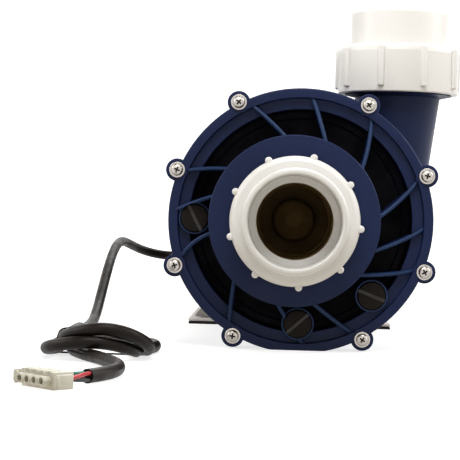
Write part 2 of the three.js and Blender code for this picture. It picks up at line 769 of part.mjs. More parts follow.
add('impeller', impeller(), black);
add('wear_ring', tube(27.5, 30.7, floorBack + gap, 33.6), stainless);
add('seal_seat', tube(8.6, 15.6, 86, 91.7), ceramic);
add('seal_head', tube(shaftRadius + gap, 14, 78, 85.6, 16), black);
add('seal_spring', along(new SpringPath(), 0.9, 4, 28), stainless);
add('shaft', pumpShaft(), stainless);
add('slinger', tube(shaftRadius + gap, 17, 99, 101.5, 16), rubber);

add('front_end_bell', frontBell(), iron);
add('front_bearing', tube(bearingSeat + gap, hubInner - gap, 109, 123, 16), steel);
add('motor_shell', tube(shellInner, motorRadius, shellFront, shellBack, motorSteps), motorPaint);
add('stator_core', statorCore(), iron);
add('front_winding', winding(coreFront - 23, coreFront - gap), copper);
add('rear_winding', winding(coreBack + gap, coreBack + 23), copper);
add('rotor_core', tube(armRadius + gap, rotorRadius, coreFront, coreBack, 20), iron);
add('cooling_fan', fan(), black);
add('rear_bearing', tube(bearingSeat + gap, hubInner - gap, 333, 347.5, 16), steel);
add('rear_end_bell', rearBell(), iron);
boltPlaces().forEach(([x, z], i) => {
  add(`through_bolt_${i + 1}`, throughBolt(), steel).position.set(x, 0, z);
});
add('motor_canopy', motorCanopy(), motorPaint);
add('capacitor', capacitor(), black);

add('foot_base', footBase(), steel, pump);
add('foot_mat', new THREE.BoxGeometry(footWidth, footLength, matThickness).translate(0, 0, matThickness / 2),
  rubber, pump);

add('strain_relief', strainRelief(), rubber, pump);
add('cord_lead', cordTube(leadPoints, 24), jacket, pump);
add('cord_hank', cordHank(), jacket, pump);
add('cord_tie', cordTie(), black, pump);
add('cord_tail', cordTube(tailPoints, 7), jacket, pump);
Object.keys(wireColours).forEach((colour, i) => {
  add(`wire_${colour}`, along(conductor(i), wireRadius, 6, 6), wireColours[colour], pump);
});
const housing = add('plug_housing', plugHousing(), nylon, pump);
housing.position.set(plugBack[0], plugBack[1], 0.2);
housing.rotation.z = THREE.MathUtils.degToRad(plugTurn);

export default pump;
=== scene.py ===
"""Looks of a spa and pool circulation pump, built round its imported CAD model.

Sizes are in millimetres and the pieces are made in the pump's own frame, then written in metres: +X right,
+Y from the suction towards the motor's back, +Z up, with the origin on the floor under the motor's foot.
"""

from math import atan2, cos, hypot, pi, radians, sin, sqrt, tan

import bmesh
import bpy
from mathutils import Matrix, Vector


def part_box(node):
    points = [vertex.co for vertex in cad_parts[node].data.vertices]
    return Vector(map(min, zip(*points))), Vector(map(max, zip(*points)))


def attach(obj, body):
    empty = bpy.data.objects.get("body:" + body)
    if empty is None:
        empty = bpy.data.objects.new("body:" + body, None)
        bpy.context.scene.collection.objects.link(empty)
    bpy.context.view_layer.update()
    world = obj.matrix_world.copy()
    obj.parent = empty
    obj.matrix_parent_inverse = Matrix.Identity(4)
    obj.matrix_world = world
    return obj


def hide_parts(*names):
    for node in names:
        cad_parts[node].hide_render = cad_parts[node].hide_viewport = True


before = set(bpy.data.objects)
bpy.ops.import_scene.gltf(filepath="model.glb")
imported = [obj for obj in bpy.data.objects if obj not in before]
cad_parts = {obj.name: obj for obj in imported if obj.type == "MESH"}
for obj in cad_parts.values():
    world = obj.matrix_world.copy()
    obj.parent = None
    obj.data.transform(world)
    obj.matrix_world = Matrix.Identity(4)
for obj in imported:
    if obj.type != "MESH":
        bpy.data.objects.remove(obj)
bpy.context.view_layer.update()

MM = 0.001

# ---- Sizes, in millimetres ----

SHAFT_Z = 88.9
RIM_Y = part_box("casing_gasket")[0].y / MM - 10.3
CASING_X = 4.3
FLANGE_RADIUS = 90.95
FLANGE_LIP = 84.3
STEP_RADIUS = 76.4
STEP_DEPTH = 4.5
COVER_FLANGE = 10
FLOOR_FRONT = 22
FLOOR_BACK = 26
FLOOR_INNER = 62
PLUG_RADIUS = 80
COLLAR_RADIUS = 58.4
COLLAR_FRONT = -16.5
COLLAR_FOOT = 66.5
WALL = 4
THREAD_RADIUS = 38
THREAD_PITCH = 4.233
THREAD_DEPTH = 1.5
SPIGOT_END = COLLAR_FRONT - 23.5
THROAT_RADIUS = 25.4
GROOVE_INNER, GROOVE_OUTER, GROOVE_DEPTH = 28.6, 33.6, 3.6
EYE_INNER, EYE_OUTER, EYE_BACK = 31, 35, 34

EAR_ANGLES = (21, 61, 119, 159, 201, 241, 299, 339)
EAR_CIRCLE = 91.6
EAR_RADIUS = 7.8
SCREW_HOLE = 2.8

# Each rib: where it leaves the lip, about the casing's centre, where it meets the collar, about the shaft,
# and how far its middle stands off its chord.
RIBS = (
    (114.2, 97.1, 0.7), (86, 69.3, 0.4), (56.8, 38.5, 1.4), (20.4, 3.6, 1.3), (357.9, 340.2, 1.2),
    (337.9, 321.3, 1), (296.3, 283.7, 0.4), (272.8, 259.5, 0.4), (236.6, 225.9, 0.5), (198.2, 190, 2.4),
    (176.5, 164.2, 0.6), (157.8, 143.4, 0.9),
)
RIB_WIDTH = 2.9

DRAINS = ((180, 72.6, 118.6), (270, 70.7, 41.6), (315, 70.7, -20.4))  # angle, distance, way of the slot
DRAIN_HEAD = 9.6
DRAIN_STEM = 6.5
DRAIN_BOSS = 11.3
DRAIN_SEAT = 8.6
DRAIN_END = 27
DRAIN_PITCH = 1.411

CASING_FRONT = 11.8
CASING_FLANGE_BACK = 22
VOLUTE_BACK = 96
TONGUE_ANGLE = 60
VOLUTE_START, VOLUTE_END = 78, 89.5

OUTLET_X, OUTLET_S, OUTLET_Z = 72.6, 63, 92
NECK_FOOT_X = 62.1
NECK_FOOT_RADIUS = 28.6
NECK_RADIUS = 30.4

NUT_RADIUS = 43
NUT_HEIGHT = 34
NUT_LIP = 35.2
NUT_BORE = 38.4
NUT_RIBS = 9
NUT_RIB = 2.4
NUT_REACH = 21
SOCKET_RADIUS = 30.3
TAIL_RADIUS = 34.7
TAIL_LENGTH = 37.7

MOTOR_FACE = 104.5
MOTOR_RADIUS = 78
SHELL_INNER = 75
SHELL_FRONT, SHELL_BACK = 124.3, 330
BELL_BACK = 352
MOTOR_END = 388
BELL_INNER = 74
BELL_HOLE = 11
HUB_INNER, HUB_OUTER = 22.5, 27
BOLT_CIRCLE = 70.5
CORD_EXIT_S, CORD_EXIT_Z = 370, -38.9
EXIT_FACE_X = -74

FOOT_WIDTH, FOOT_LENGTH, FOOT_PLATE, MAT = 165, 165, 2.2, 1.8
SLOT_X, SLOT_Y, SLOT_LONG, SLOT_WIDE = 62, 63.5, 25, 8.7
CRADLE_Y, CRADLE_PLATE, CRADLE_FOOT, CRADLE_TOP = 47, 3, 81, 50
GAP = 0.3

CORD_RADIUS = 4
HANK_X, HANK_Y, HANK_HALF = -122, -365, 24
PLUG_TURN = 225
PLUG_BACK = (-125, -549, 0.2)
PLUG_THICK = 9.5
PIN_PITCH = 6.35
WIRE_RADIUS, WIRE_CIRCLE = 1.2, 2.35
TIE_RADIUS = 0.55

ROUND = 160      # sides of the large turned shapes
SMALL = 48       # sides of the small ones
HALF_TURN = [pi * k / 8 for k in range(9)]



def shift(way):
    return Matrix.Translation(way)


def about(axis, degrees):
    return Matrix.Rotation(radians(degrees), 4, axis)


WET_END = shift((0, RIM_Y, SHAFT_Z))
UPRIGHT = WET_END @ shift((OUTLET_X, OUTLET_S, OUTLET_Z)) @ about("X", -90)
AT_PLUG = shift(PLUG_BACK) @ about("Z", PLUG_TURN)
FLOOR = Matrix.Identity(4)


def linked(name, data):
    """A new object in the scene."""
    made = bpy.data.objects.new(name, data)
    bpy.context.scene.collection.objects.link(made)
    return made


# ---- Camera ----

def make_camera():
    """The view: 1.1 m in front of the casing, just above its middle, and leaning a little."""
    focal = 1600
    roll = radians(1.6)
    forward = Vector((-50.25, focal, -27.4)).normalized()
    right = Vector((cos(roll), 0, sin(roll)))
    right = (right - right.dot(forward) * forward).normalized()
    up = right.cross(forward)
    lens = bpy.data.cameras.new("camera")
    lens.sensor_width = 36
    lens.lens = focal * 36 / 460
    lens.clip_end = 50
    camera = linked("camera", lens)
    turn = Matrix((right, up, -forward)).transposed()
    camera.matrix_world = shift(Vector((-9.4, -1392, 100.1)) * MM) @ turn.to_4x4()
    bpy.context.scene.camera = camera


make_camera()


# ---- Materials ----

def add_node(tree, kind, links, **settings):
    """A shader node. A setting is a value for one of its sockets, or a property of the node."""
    made = tree.nodes.new(kind)
    for name, value in settings.items():
        if name in made.inputs:
            made.inputs[name].default_value = value
        else:
            setattr(made, name, value)
    for name, source in links.items():
        tree.links.new(source, made.inputs[name])
    return made


class Surface:
    """A material on the Principled shader, with procedural variation added step by step."""

    def __init__(self, name, colour, roughness, metallic=0.0, specular=0.5, **sockets):
        self.name = name
        self.material = bpy.data.materials.new(name)
        self.material.use_nodes = True
        self.tree = self.material.node_tree
        self.shader = self.tree.nodes["Principled BSDF"]
        self.colour = colour
        self.roughness = roughness
        self.set(Roughness=roughness, Metallic=metallic, Specular_IOR_Level=specular, **sockets)
        self.shader.inputs["Base Color"].default_value = (*colour, 1)
        self.place = self.tree.nodes.new("ShaderNodeTexCoord").outputs["Object"]
        self.relief = None

    def set(self, **sockets):
        for name, value in sockets.items():
            self.shader.inputs[name.replace("_", " ")].default_value = value

    def node(self, kind, links, **settings):
        return add_node(self.tree, kind, links, **settings)

    def stretched(self, scale):
        """The place in the piece, with each axis scaled."""
        return self.node("ShaderNodeMapping", {"Vector": self.place}, Scale=scale).outputs["Vector"]

    def noise(self, scale, detail, place=None):
        links = {"Vector": place or self.place}
        return self.node("ShaderNodeTexNoise", links, Scale=scale, Detail=detail).outputs[0]

    def value(self, source):
        """A node's output as it is, or the noise of a (scale, detail) pair."""
        return self.noise(*source) if isinstance(source, tuple) else source

    def ranged(self, value, low, high, start=0.3, end=0.7):
        limits = {"From Min": start, "From Max": end, "To Min": low, "To Max": high}
        return self.node("ShaderNodeMapRange", {"Value": value}, **limits).outputs["Result"]

    def tint(self, source, other, most):
        """The colour moves towards another one where the source is high."""
        source = self.value(source)
        mix = self.node("ShaderNodeMix", {}, data_type="RGBA")
        socket = self.shader.inputs["Base Color"]
        first, second = [s for s in mix.inputs if s.type == "RGBA"]
        if socket.is_linked:
            self.tree.links.new(socket.links[0].from_socket, first)
        else:
            first.default_value = (*self.colour, 1)
        second.default_value = (*other, 1)
        self.tree.links.new(self.ranged(source, 0, most), mix.inputs["Factor"])
        self.tree.links.new([s for s in mix.outputs if s.type == "RGBA"][0], socket)
        return self

    def uneven(self, source, spread):
        """The roughness varies with the source."""
        low, high = self.roughness - spread, self.roughness + spread
        self.tree.links.new(self.ranged(self.value(source), low, high), self.shader.inputs["Roughness"])
        return self

    def bumped(self, source, height, strength=1.0):
        """Relief of the given height, in millimetres, on top of what is already there."""
        links = {"Height": self.value(source)}
        bump = self.node("ShaderNodeBump", links, Strength=strength, Distance=height * MM)
        if self.relief:
            self.tree.links.new(self.relief, bump.inputs["Normal"])
        self.relief = bump.outputs["Normal"]
        self.tree.links.new(self.relief, self.shader.inputs["Normal"])
        return self


def navy_plastic(name, colour):
    """Moulded plastic with a fine satin grain, a faint flow pattern and slightly paler worn patches."""
    made = Surface(name, colour, 0.42, specular=0.2)
    made.tint((9, 3), tuple(1.5 * part for part in colour), 0.8)
    made.tint((160, 5), tuple(0.7 * part for part in colour), 0.3).uneven((45, 6), 0.07)
    return made.bumped((900, 3), 0.05, 0.5).bumped((60, 2), 0.12, 0.25)


def recess_painted_shade():
    """The same plastic deep between the ribs, in a painted shade that keeps it nearly black."""
    made = Surface("recess_painted_shade", (0.0035, 0.0032, 0.0062), 0.6, specular=0.12)
    made.tint((24, 4), (0.007, 0.0065, 0.011), 0.6).uneven((60, 4), 0.12)
    return made.bumped((500, 3), 0.06, 0.5)


def throat_plastic():
    """The inside of the water passages, dark and stained brown."""
    made = Surface("throat_plastic", (0.42, 0.30, 0.14), 0.7, specular=0.15)
    return made.tint((70, 4), (0.30, 0.21, 0.09), 0.8).uneven((90, 4), 0.12).bumped((500, 3), 0.06, 0.5)


def white_pvc():
    """Injection moulded PVC: smooth, a touch warm, with a faint flow mottle."""
    made = Surface("white_pvc", (0.79, 0.782, 0.765), 0.32, specular=0.4)
    made.tint((30, 3), (0.75, 0.738, 0.71), 0.5).tint((300, 5), (0.70, 0.68, 0.64), 0.1)
    return made.uneven((110, 5), 0.025).bumped((260, 2), 0.02, 0.3)


def black_plastic():
    """Matt black plastic, rubbed in streaks."""
    made = Surface("black_plastic", (0.0085, 0.0058, 0.0042), 0.55, specular=0.15)
    streaks = made.noise(60, 6, made.stretched((9, 1, 1.2)))
    made.tint(streaks, (0.018, 0.013, 0.010), 0.75).uneven(streaks, 0.14)
    return made.bumped((700, 4), 0.06, 0.6)


def slot_floor_plastic():
    """The floor of a coin slot, much paler than the head, in streaks along its length."""
    made = Surface("slot_floor_plastic", (0.055, 0.051, 0.048), 0.5, specular=0.35)
    slot_streaks = made.noise(140, 6, made.stretched((0.6, 1, 5)))
    return made.tint(slot_streaks, (0.12, 0.115, 0.11), 0.8).uneven(slot_streaks, 0.12).bumped(slot_streaks, 0.12, 0.6)


def rubber():
    """Black rubber, dull and slightly grainy."""
    made = Surface("seal_rubber", (0.009, 0.0075, 0.0065), 0.72, specular=0.35)
    made.tint((40, 5), (0.020, 0.018, 0.016), 0.5).uneven((150, 4), 0.1)
    return made.bumped((1100, 3), 0.09, 0.7)


def stainless():
    """Bright steel with fine marks."""
    made = Surface("stainless_steel", (0.47, 0.44, 0.41), 0.3, 1.0)
    made.tint((120, 4), (0.36, 0.335, 0.31), 0.6).uneven((260, 5), 0.08)
    return made.bumped((1500, 3), 0.012, 0.3)


def drive_recess():
    """The cross recess of a screw, much darker than the head."""
    made = Surface("drive_recess", (0.050, 0.040, 0.032), 0.6, 0.3)
    made.tint((500, 4), (0.12, 0.10, 0.085), 0.6).uneven((700, 4), 0.15)
    return made.bumped((1200, 3), 0.05, 0.5)


def zinc_steel():
    """Galvanised sheet, with its spangle."""
    made = Surface("foot_steel", (0.34, 0.32, 0.30), 0.44, 1.0)
    spangle = made.node("ShaderNodeTexVoronoi", {"Vector": made.place}, Scale=170)
    shade = made.node("ShaderNodeSeparateColor", {"Color": spangle.outputs["Color"]}).outputs[0]
    return made.tint(shade, (0.43, 0.405, 0.385), 0.6).uneven(shade, 0.06).bumped((600, 4), 0.02, 0.3)


def motor_paint():
    """Black enamel with an orange peel."""
    made = Surface("motor_paint", (0.010, 0.010, 0.012), 0.34, specular=0.3, Coat_Weight=0.2)
    made.set(Coat_Roughness=0.15)
    made.tint((18, 4), (0.019, 0.019, 0.021), 0.7).uneven((70, 4), 0.03).bumped((220, 3), 0.05, 0.4)
    return made.bumped((1400, 2), 0.02, 0.4)


def cast_metal():
    """Die-cast aluminium with a sandy skin."""
    made = Surface("cast_metal", (0.30, 0.30, 0.31), 0.5, 0.9)
    made.tint((50, 5), (0.17, 0.17, 0.175), 0.7).uneven((120, 5), 0.14).bumped((260, 6), 0.14, 0.6)
    return made.bumped((900, 4), 0.06, 0.6)


def laminations():
    """Stacked electrical steel: fine lines across the shaft's axis."""
    made = Surface("laminated_steel", (0.20, 0.20, 0.21), 0.5, 0.9)
    sheets = made.node("ShaderNodeTexWave", {"Vector": made.place}, Scale=160, bands_direction="Y")
    made.tint(sheets.outputs["Fac"], (0.11, 0.11, 0.12), 0.8).uneven((90, 4), 0.1)
    return made.bumped(sheets.outputs["Fac"], 0.15, 0.6)


def copper():
    """Enamelled copper wire, in wavy strands."""
    made = Surface("winding_copper", (0.42, 0.16, 0.055), 0.35, 0.9)
    strands = made.node("ShaderNodeTexWave", {"Vector": made.place}, Scale=130, Distortion=3.0, Detail=2.0)
    made.tint(strands.outputs["Fac"], (0.20, 0.07, 0.025), 0.7).uneven((120, 4), 0.1)
    return made.bumped(strands.outputs["Fac"], 0.4, 0.7)


def ceramic():
    """The seal's fired and lapped seat."""
    made = Surface("seal_ceramic", (0.78, 0.76, 0.70), 0.18)
    return made.tint((120, 4), (0.68, 0.65, 0.58), 0.5).uneven((200, 4), 0.05).bumped((900, 3), 0.02, 0.4)


def cord_jacket():
    """The lead's jacket: satin, with a fine grain and dusty patches."""
    made = Surface("cord_jacket", (0.0130, 0.0082, 0.0062), 0.42, specular=0.2)
    made.tint((28, 5), (0.024, 0.017, 0.014), 0.8).tint((420, 4), (0.007, 0.005, 0.004), 0.5)
    return made.uneven((130, 5), 0.1).bumped((150, 3), 0.12, 0.35).bumped((1300, 3), 0.05, 0.6)


def nylon():
    """Unpigmented nylon, slightly translucent."""
    made = Surface("plug_nylon", (0.72, 0.70, 0.62), 0.38, Subsurface_Weight=0.25)
    made.set(Subsurface_Radius=(0.004, 0.0035, 0.003))
    return made.tint((90, 4), (0.62, 0.60, 0.50), 0.6).uneven((240, 4), 0.08).bumped((700, 3), 0.05, 0.4)


def wire_skin(name, colour, other):
    """A conductor's insulation, faintly ringed along its length."""
    made = Surface(name, colour, 0.34)
    return made.tint((220, 4), other, 0.7).uneven((400, 4), 0.08).bumped((900, 3), 0.05, 0.5)


NAVY = navy_plastic("navy_plastic", (0.0115, 0.0195, 0.061))
# A paler, bluer copy of the navy for the ribs: a painted highlight along them.
RIB_HIGHLIGHT_NAVY = navy_plastic("navy_plastic_rib_highlight", (0.017, 0.037, 0.094))
# A near-black copy of the navy for the recess between the ribs: painted shade.
RECESS_SHADE = recess_painted_shade()
THROAT = throat_plastic()
PVC = white_pvc()
BLACK = black_plastic()
SLOT_FLOOR = slot_floor_plastic()
RUBBER = rubber()
STAINLESS = stainless()
DRIVE = drive_recess()
ZINC = zinc_steel()
PAINT = motor_paint()
CAST = cast_metal()
LAMINATED = laminations()
COPPER = copper()
CERAMIC = ceramic()
JACKET = cord_jacket()
NYLON = nylon()
WIRES = {
    "red": wire_skin("wire_red", (0.52, 0.012, 0.022), (0.38, 0.008, 0.015)),
    "green": wire_skin("wire_green", (0.0, 0.155, 0.10), (0.0, 0.11, 0.075)),
    "white": wire_skin("wire_white", (0.78, 0.76, 0.73), (0.66, 0.64, 0.61)),
    "black": wire_skin("wire_black", (0.012, 0.010, 0.010), (0.024, 0.021, 0.020)),
}


# ---- Shapes ----

def polar(radius, degrees, centre_x=CASING_X):
    """A point on a circle about the casing's centre or the shaft, as x and z."""
    turn = radians(degrees)
    return centre_x + radius * cos(turn), radius * sin(turn)


def rounded(corners, ends=False, arc=5):
    """An outline's points. A corner is (a, b) or (a, b, radius).
    With ends, the first and last stay sharp."""
    points = []
    for i, corner in enumerate(corners):
        here = Vector(corner[:2])
        size = corner[2] if len(corner) > 2 else 0
        if not size or (ends and i in (0, len(corners) - 1)):
            points.append(tuple(here))
            continue
        before = (Vector(corners[i - 1][:2]) - here).normalized()
        after = (Vector(corners[(i + 1) % len(corners)][:2]) - here).normalized()
        half = before.angle(after) / 2
        centre = here + (before + after).normalized() * (size / sin(half))
        start = here + before * (size / tan(half)) - centre
        end = here + after * (size / tan(half)) - centre
        first = atan2(start.y, start.x)
        swing = (atan2(end.y, end.x) - first + pi) % (2 * pi) - pi
        for k in range(arc + 1):
            turn = first + swing * k / arc
            points.append((centre.x + size * cos(turn), centre.y + size * sin(turn)))
    return points


def circle(sides):
    return [2 * pi * k / sides for k in range(sides)]


def turned(profile, sides=ROUND, form=None):
    """A closed solid turned about the Y axis. The profile is (radius, along) points; off the axis it is a
    ring. form(radius, along, angle) may change a point's radius, as a thread does."""
    body = bmesh.new()
    rings = []
    for radius, along in profile:
        ring = []
        for angle in circle(sides) if radius else [0]:
            reach = form(radius, along, angle) if form and radius else radius
            ring.append(body.verts.new((reach * cos(angle), along, reach * sin(angle))))
        rings.append(ring)
    after = rings[1:] + (rings[:1] if profile[0][0] else [])
    for first, second in zip(rings, after):
        for k in range(sides):
            corners = [first[k % len(first)], first[(k + 1) % len(first)],
                       second[(k + 1) % len(second)], second[k % len(second)]]
            corners = list(dict.fromkeys(corners))
            if len(corners) > 2:
                body.faces.new(corners)
    bmesh.ops.recalc_face_normals(body, faces=body.faces)
    return body


def loft(rings):
    """A closed solid through rings that hold the same number of points."""
    body = bmesh.new()
    loops = [[body.verts.new(point) for point in ring] for ring in rings]
    for first, second in zip(loops, loops[1:]):
        for k in range(len(first)):
            body.faces.new((first[k - 1], first[k], second[k], second[k - 1]))
    body.faces.new(loops[0])
    body.faces.new(loops[-1])
    bmesh.ops.recalc_face_normals(body, faces=body.faces)
    return body


def block(low, high, edge=0.0, segments=3):
    """A box between two corners, with its edges rounded."""
    body = bmesh.new()
    low, high = Vector(low), Vector(high)
    place = shift((low + high) / 2) @ Matrix.Diagonal((*(high - low), 1))
    bmesh.ops.create_cube(body, size=1.0, matrix=place)
    if edge:
        bmesh.ops.bevel(body, geom=body.edges[:], offset=edge, segments=segments, affect="EDGES",
                        profile=0.5)
    return body


def lathe(corners, sides=ROUND, ends=True, arc=5):
    """A solid turned from an outline with rounded corners."""
    return turned(rounded(corners, ends, arc), sides)


def moved(body, x=0.0, y=0.0, z=0.0, turn=None):
    if turn:
        body.transform(turn)
    bmesh.ops.translate(body, verts=body.verts[:], vec=(x, y, z))
    return body


def rod(radius, start, end, x=0.0, z=0.0, edge=0.0, sides=SMALL):
    corners = [(0, start), (radius, start, edge), (radius, end, edge), (0, end)]
    return moved(lathe(corners, sides), x, 0, z)


def thread(start, end, pitch, depth, crest):
    """A screw thread's form: it lowers or raises a wall of the crest's radius between start and end."""
    run_out = 1.5

    def form(radius, along, angle):
        if abs(radius - crest) > 0.01 or not start < along < end:
            return radius
        fade = min(1.0, (along - start) / run_out, (end - along) / run_out)
        wave = 0.5 - 0.5 * cos(2 * pi * (along / pitch - angle / (2 * pi)))
        return radius - depth * wave * fade
    return form


def rows(radius, start, end, step):
    """Points along a wall, close enough to carry a thread."""
    count = max(2, round(abs(end - start) / step))
    return [(radius, start + (end - start) * k / count) for k in range(count + 1)]


def shell(name, body):
    mesh = bpy.data.meshes.new(name)
    body.to_mesh(mesh)
    body.free()
    return linked(name, mesh)


def built(base, joins=(), cuts=(), common=()):
    """The base with some solids joined and others cut away, kept only where it meets the common ones."""
    target = shell("target", base)
    tools = []
    for operation, bodies in (("UNION", joins), ("DIFFERENCE", cuts), ("INTERSECT", common)):
        for body in bodies:
            tools.append(shell("tool", body))
            step = target.modifiers.new("step", "BOOLEAN")
            step.operation = operation
            step.solver = "MANIFOLD"
            step.object = tools[-1]
    graph = bpy.context.evaluated_depsgraph_get()
    result = bmesh.new()
    result.from_mesh(bpy.data.meshes.new_from_object(target.evaluated_get(graph)))
    for spent in [target, *tools]:
        mesh = spent.data
        bpy.data.objects.remove(spent)
        bpy.data.meshes.remove(mesh)
    return result


def painted(body, test, index=1):
    """Faces that pass the test take another of the piece's materials."""
    body.normal_update()
    for face in body.faces:
        if test(face):
            face.material_index = index
    return body


def declare(made, looks, rides, stands_for):
    """The piece's materials, body and CAD nodes."""
    for look in looks:
        made.data.materials.append(look.material)
    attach(made, rides)
    if stands_for:
        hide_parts(*stands_for)
    return made


def piece(name, body, looks, stands_for, place=WET_END, crease=35, rides="pump"):
    """The finished piece, in metres and smooth but for its creases."""
    body.transform(Matrix.Scale(MM, 4) @ place)
    made = shell(name, body)
    made.data.shade_smooth()
    made.data.set_sharp_from_angle(angle=radians(crease))
    return declare(made, looks, rides, stands_for)


# ---- Lead ----

LEAD_ROUTE = (
    (-98, 75, 50), (-108, 74.4, 49.8), (-120, 70.5, 51), (-131, 62, 53.8), (-139, 48, 57.6),
    (-144.5, 31, 61.4), (-147.5, 12, 63.6), (-149, -8, 62.6), (-150, -28, 58.6), (-150.8, -48, 51.8),
    (-151.4, -68, 42.8), (-152, -88, 32.4), (-152.4, -108, 22), (-152.6, -128, 12.8),
    (-152.6, -150, 6.4), (-152.4, -174, 4.3), (-151.6, -200, 4.3), (-150, -226, 4.3),
    (-148.4, -252, 4.6), (-146.6, -276, 6.8), (-144.8, -292, 9.6), (-143.6, -306, 11.8),
)
TAIL_ROUTE = (
    (-117.6, -427.6, 4.3), (-110.5, -444, 4.3), (-103.5, -462, 4.3), (-99.5, -481, 4.3),
    (-99.8, -500, 4.3), (-104.2, -517, 4.3), (-111.5, -532, 4.3),
)


def between(keys, at):
    """The height at a share of the way, from (share, height) pairs."""
    for (start, low), (end, high) in zip(keys, keys[1:]):
        if at <= end:
            return low + (high - low) * (at - start) / (end - start)
    return keys[-1][1]


def hank_route():
    """Two long turns, pinched at the waist: across is to the right and near is towards the suction side.
    Each round end is half a circle and a little more, and the last one climbs over the turn before it."""
    past = 22
    flat = ((0, 4.2), (1, 4.2))
    hump = ((0, 13.2), (0.12, 14.4), (0.22, 16.6), (0.32, 19.1), (0.42, 20.7), (0.52, 20.4), (0.62, 17.9),
            (0.75, 12.9), (0.88, 8.0), (1, 5.2))
    low_hump = ((0, 4.5), (0.1, 5.2), (0.23, 7.6), (0.37, 10.8), (0.47, 12.4), (0.56, 12.5), (0.65, 11.2),
                (0.78, 7.4), (0.92, 4.8), (1, 4.3))
    start = ((-49, 12.6), (-38, 12.7), (-24, 12.7), (-9, 12.7), (8, 12.8))
    route = [(-21.4, near, height) for near, height in start]

    def round_end(across, near, radius, start, end, heights, count=12):
        for k in range(count + 1):
            share = k / count
            turn = radians(start + (end - start) * share)
            place = (across + radius * cos(turn), near + radius * sin(turn))
            route.append((*place, between(heights, share)))

    round_end(5.5, HANK_HALF, 26.9, 180, -past, hump)
    route.append((27.4, 0, 4.25))
    round_end(0, -HANK_HALF, 32.6, past, -180 - past, flat, 14)
    route.append((-27.4, 0, 4.2))
    round_end(-4.1, HANK_HALF, 28.6, 180 + past, -past, low_hump)
    route.append((19.1, 0, 4.2))
    round_end(0, -HANK_HALF, 24.5, past, -180 - past, flat)
    route += [(-19.1, 0, 4.2), (-17.6, 12, 4.2), (-13.8, 24, 4.2), (-9, 36, 4.2), (-3.4, 48, 4.2)]
    return [(HANK_X + across, HANK_Y - near, height) for across, near, height in route]


def smoothed(points, step, rounds=0):
    """A close row of points on one smooth curve through the given ones, in millimetres."""
    given = [Vector(p) for p in points]
    given = [2 * given[0] - given[1], *given, 2 * given[-1] - given[-2]]
    route = []
    for p0, p1, p2, p3 in zip(given, given[1:], given[2:], given[3:]):
        t1 = (p1 - p0).length ** 0.5
        t2 = t1 + (p2 - p1).length ** 0.5
        t3 = t2 + (p3 - p2).length ** 0.5
        count = max(2, round((p2 - p1).length / step))
        for k in range(count):
            t = t1 + (t2 - t1) * k / count
            a1 = p0.lerp(p1, t / t1)
            a2 = p1.lerp(p2, (t - t1) / (t2 - t1))
            a3 = p2.lerp(p3, (t - t2) / (t3 - t2))
            b1 = a1.lerp(a2, t / t2)
            b2 = a2.lerp(a3, (t - t1) / (t3 - t1))
            route.append(b1.lerp(b2, (t - t1) / (t2 - t1)))
    route.append(given[-2])
    for _ in range(rounds):
        inner = [(a + 2 * b + c) / 4 for a, b, c in zip(route, route[1:], route[2:])]
        route = [route[0], *inner, route[-1]]
    return route


def strand(name, route, radius, look, stands_for=(), sides=12, closed=False):
    """A round cord or wire along a route, fixed to the pump."""
    curve = bpy.data.curves.new(name, "CURVE")
    curve.dimensions = "3D"
    curve.bevel_depth = radius * MM
    curve.bevel_resolution = sides // 2 - 2
    curve.use_fill_caps = True
    line = curve.splines.new("POLY")
    line.points.add(len(route) - 1)
    for point, place in zip(line.points, route):
        point.co = (*(Vector(place) * MM), 1)
    line.use_cyclic_u = closed
    line.use_smooth = True
    return declare(linked(name, curve), [look], "pump", stands_for)


def conductor_route(index, lane):
    """From its quarter of the jacket's end to its own way in the plug."""
    last, before = Vector(TAIL_ROUTE[-1]), Vector(TAIL_ROUTE[-2])
    out = (last - before).normalized()
    side = Vector((-out.y, out.x, 0))
    quarter = pi / 4 + index * pi / 2
    offset = side * (WIRE_CIRCLE * cos(quarter)) + Vector((0, 0, WIRE_CIRCLE * sin(quarter)))
    reach, inside = 9, 2
    across = (1.5 - lane) * PIN_PITCH
    start = last + offset
    lift = 0.8 * offset.z
    keys = [start - inside * out, start + reach * out,
            AT_PLUG @ Vector((-reach, across, PLUG_THICK / 2 + lift)),
            AT_PLUG @ Vector((inside, across, PLUG_THICK / 2))]
    route = []
    for k in range(25):
        t = k / 24
        weights = ((1 - t) ** 3, 3 * t * (1 - t) ** 2, 3 * t * t * (1 - t), t ** 3)
        route.append(sum((w * key for w, key in zip(weights, keys)), Vector()))
    return route


def wire_tie():
    """A thin wire round the waist, with its two ends twisted together on top."""
    corners = [(-31.9, 0.6, 3.5), (31.9, 0.6, 3.5), (31.9, 8.7, 4), (-17.5, 17.3, 4.2), (-27.5, 15.6, 4.5)]
    outline = rounded([(HANK_X + a, z, r) for a, z, r in corners], arc=6)
    loop = [Vector((x, HANK_Y, z)) for x, z in outline]
    made = [strand("cord_tie_loop", loop, TIE_RADIUS, BLACK, ("cord_tie",), 10, True)]
    twisted = 0.8
    for number, phase in enumerate((0, pi), 1):
        route = []
        for k in range(41):
            share = k / 40
            spread = 0.62 + (1.6 * (share - twisted) / 0.2 if share > twisted else 0)
            turn = phase + min(share, twisted) * 9 * pi
            route.append((HANK_X + 12 + 13 * share, HANK_Y - 1.2 - 6 * share + spread * cos(turn),
                          13.2 - 1.4 * share + spread * sin(turn)))
        made.append(strand(f"cord_tie_end_{number}", route, TIE_RADIUS, BLACK, (), 10))
    return made


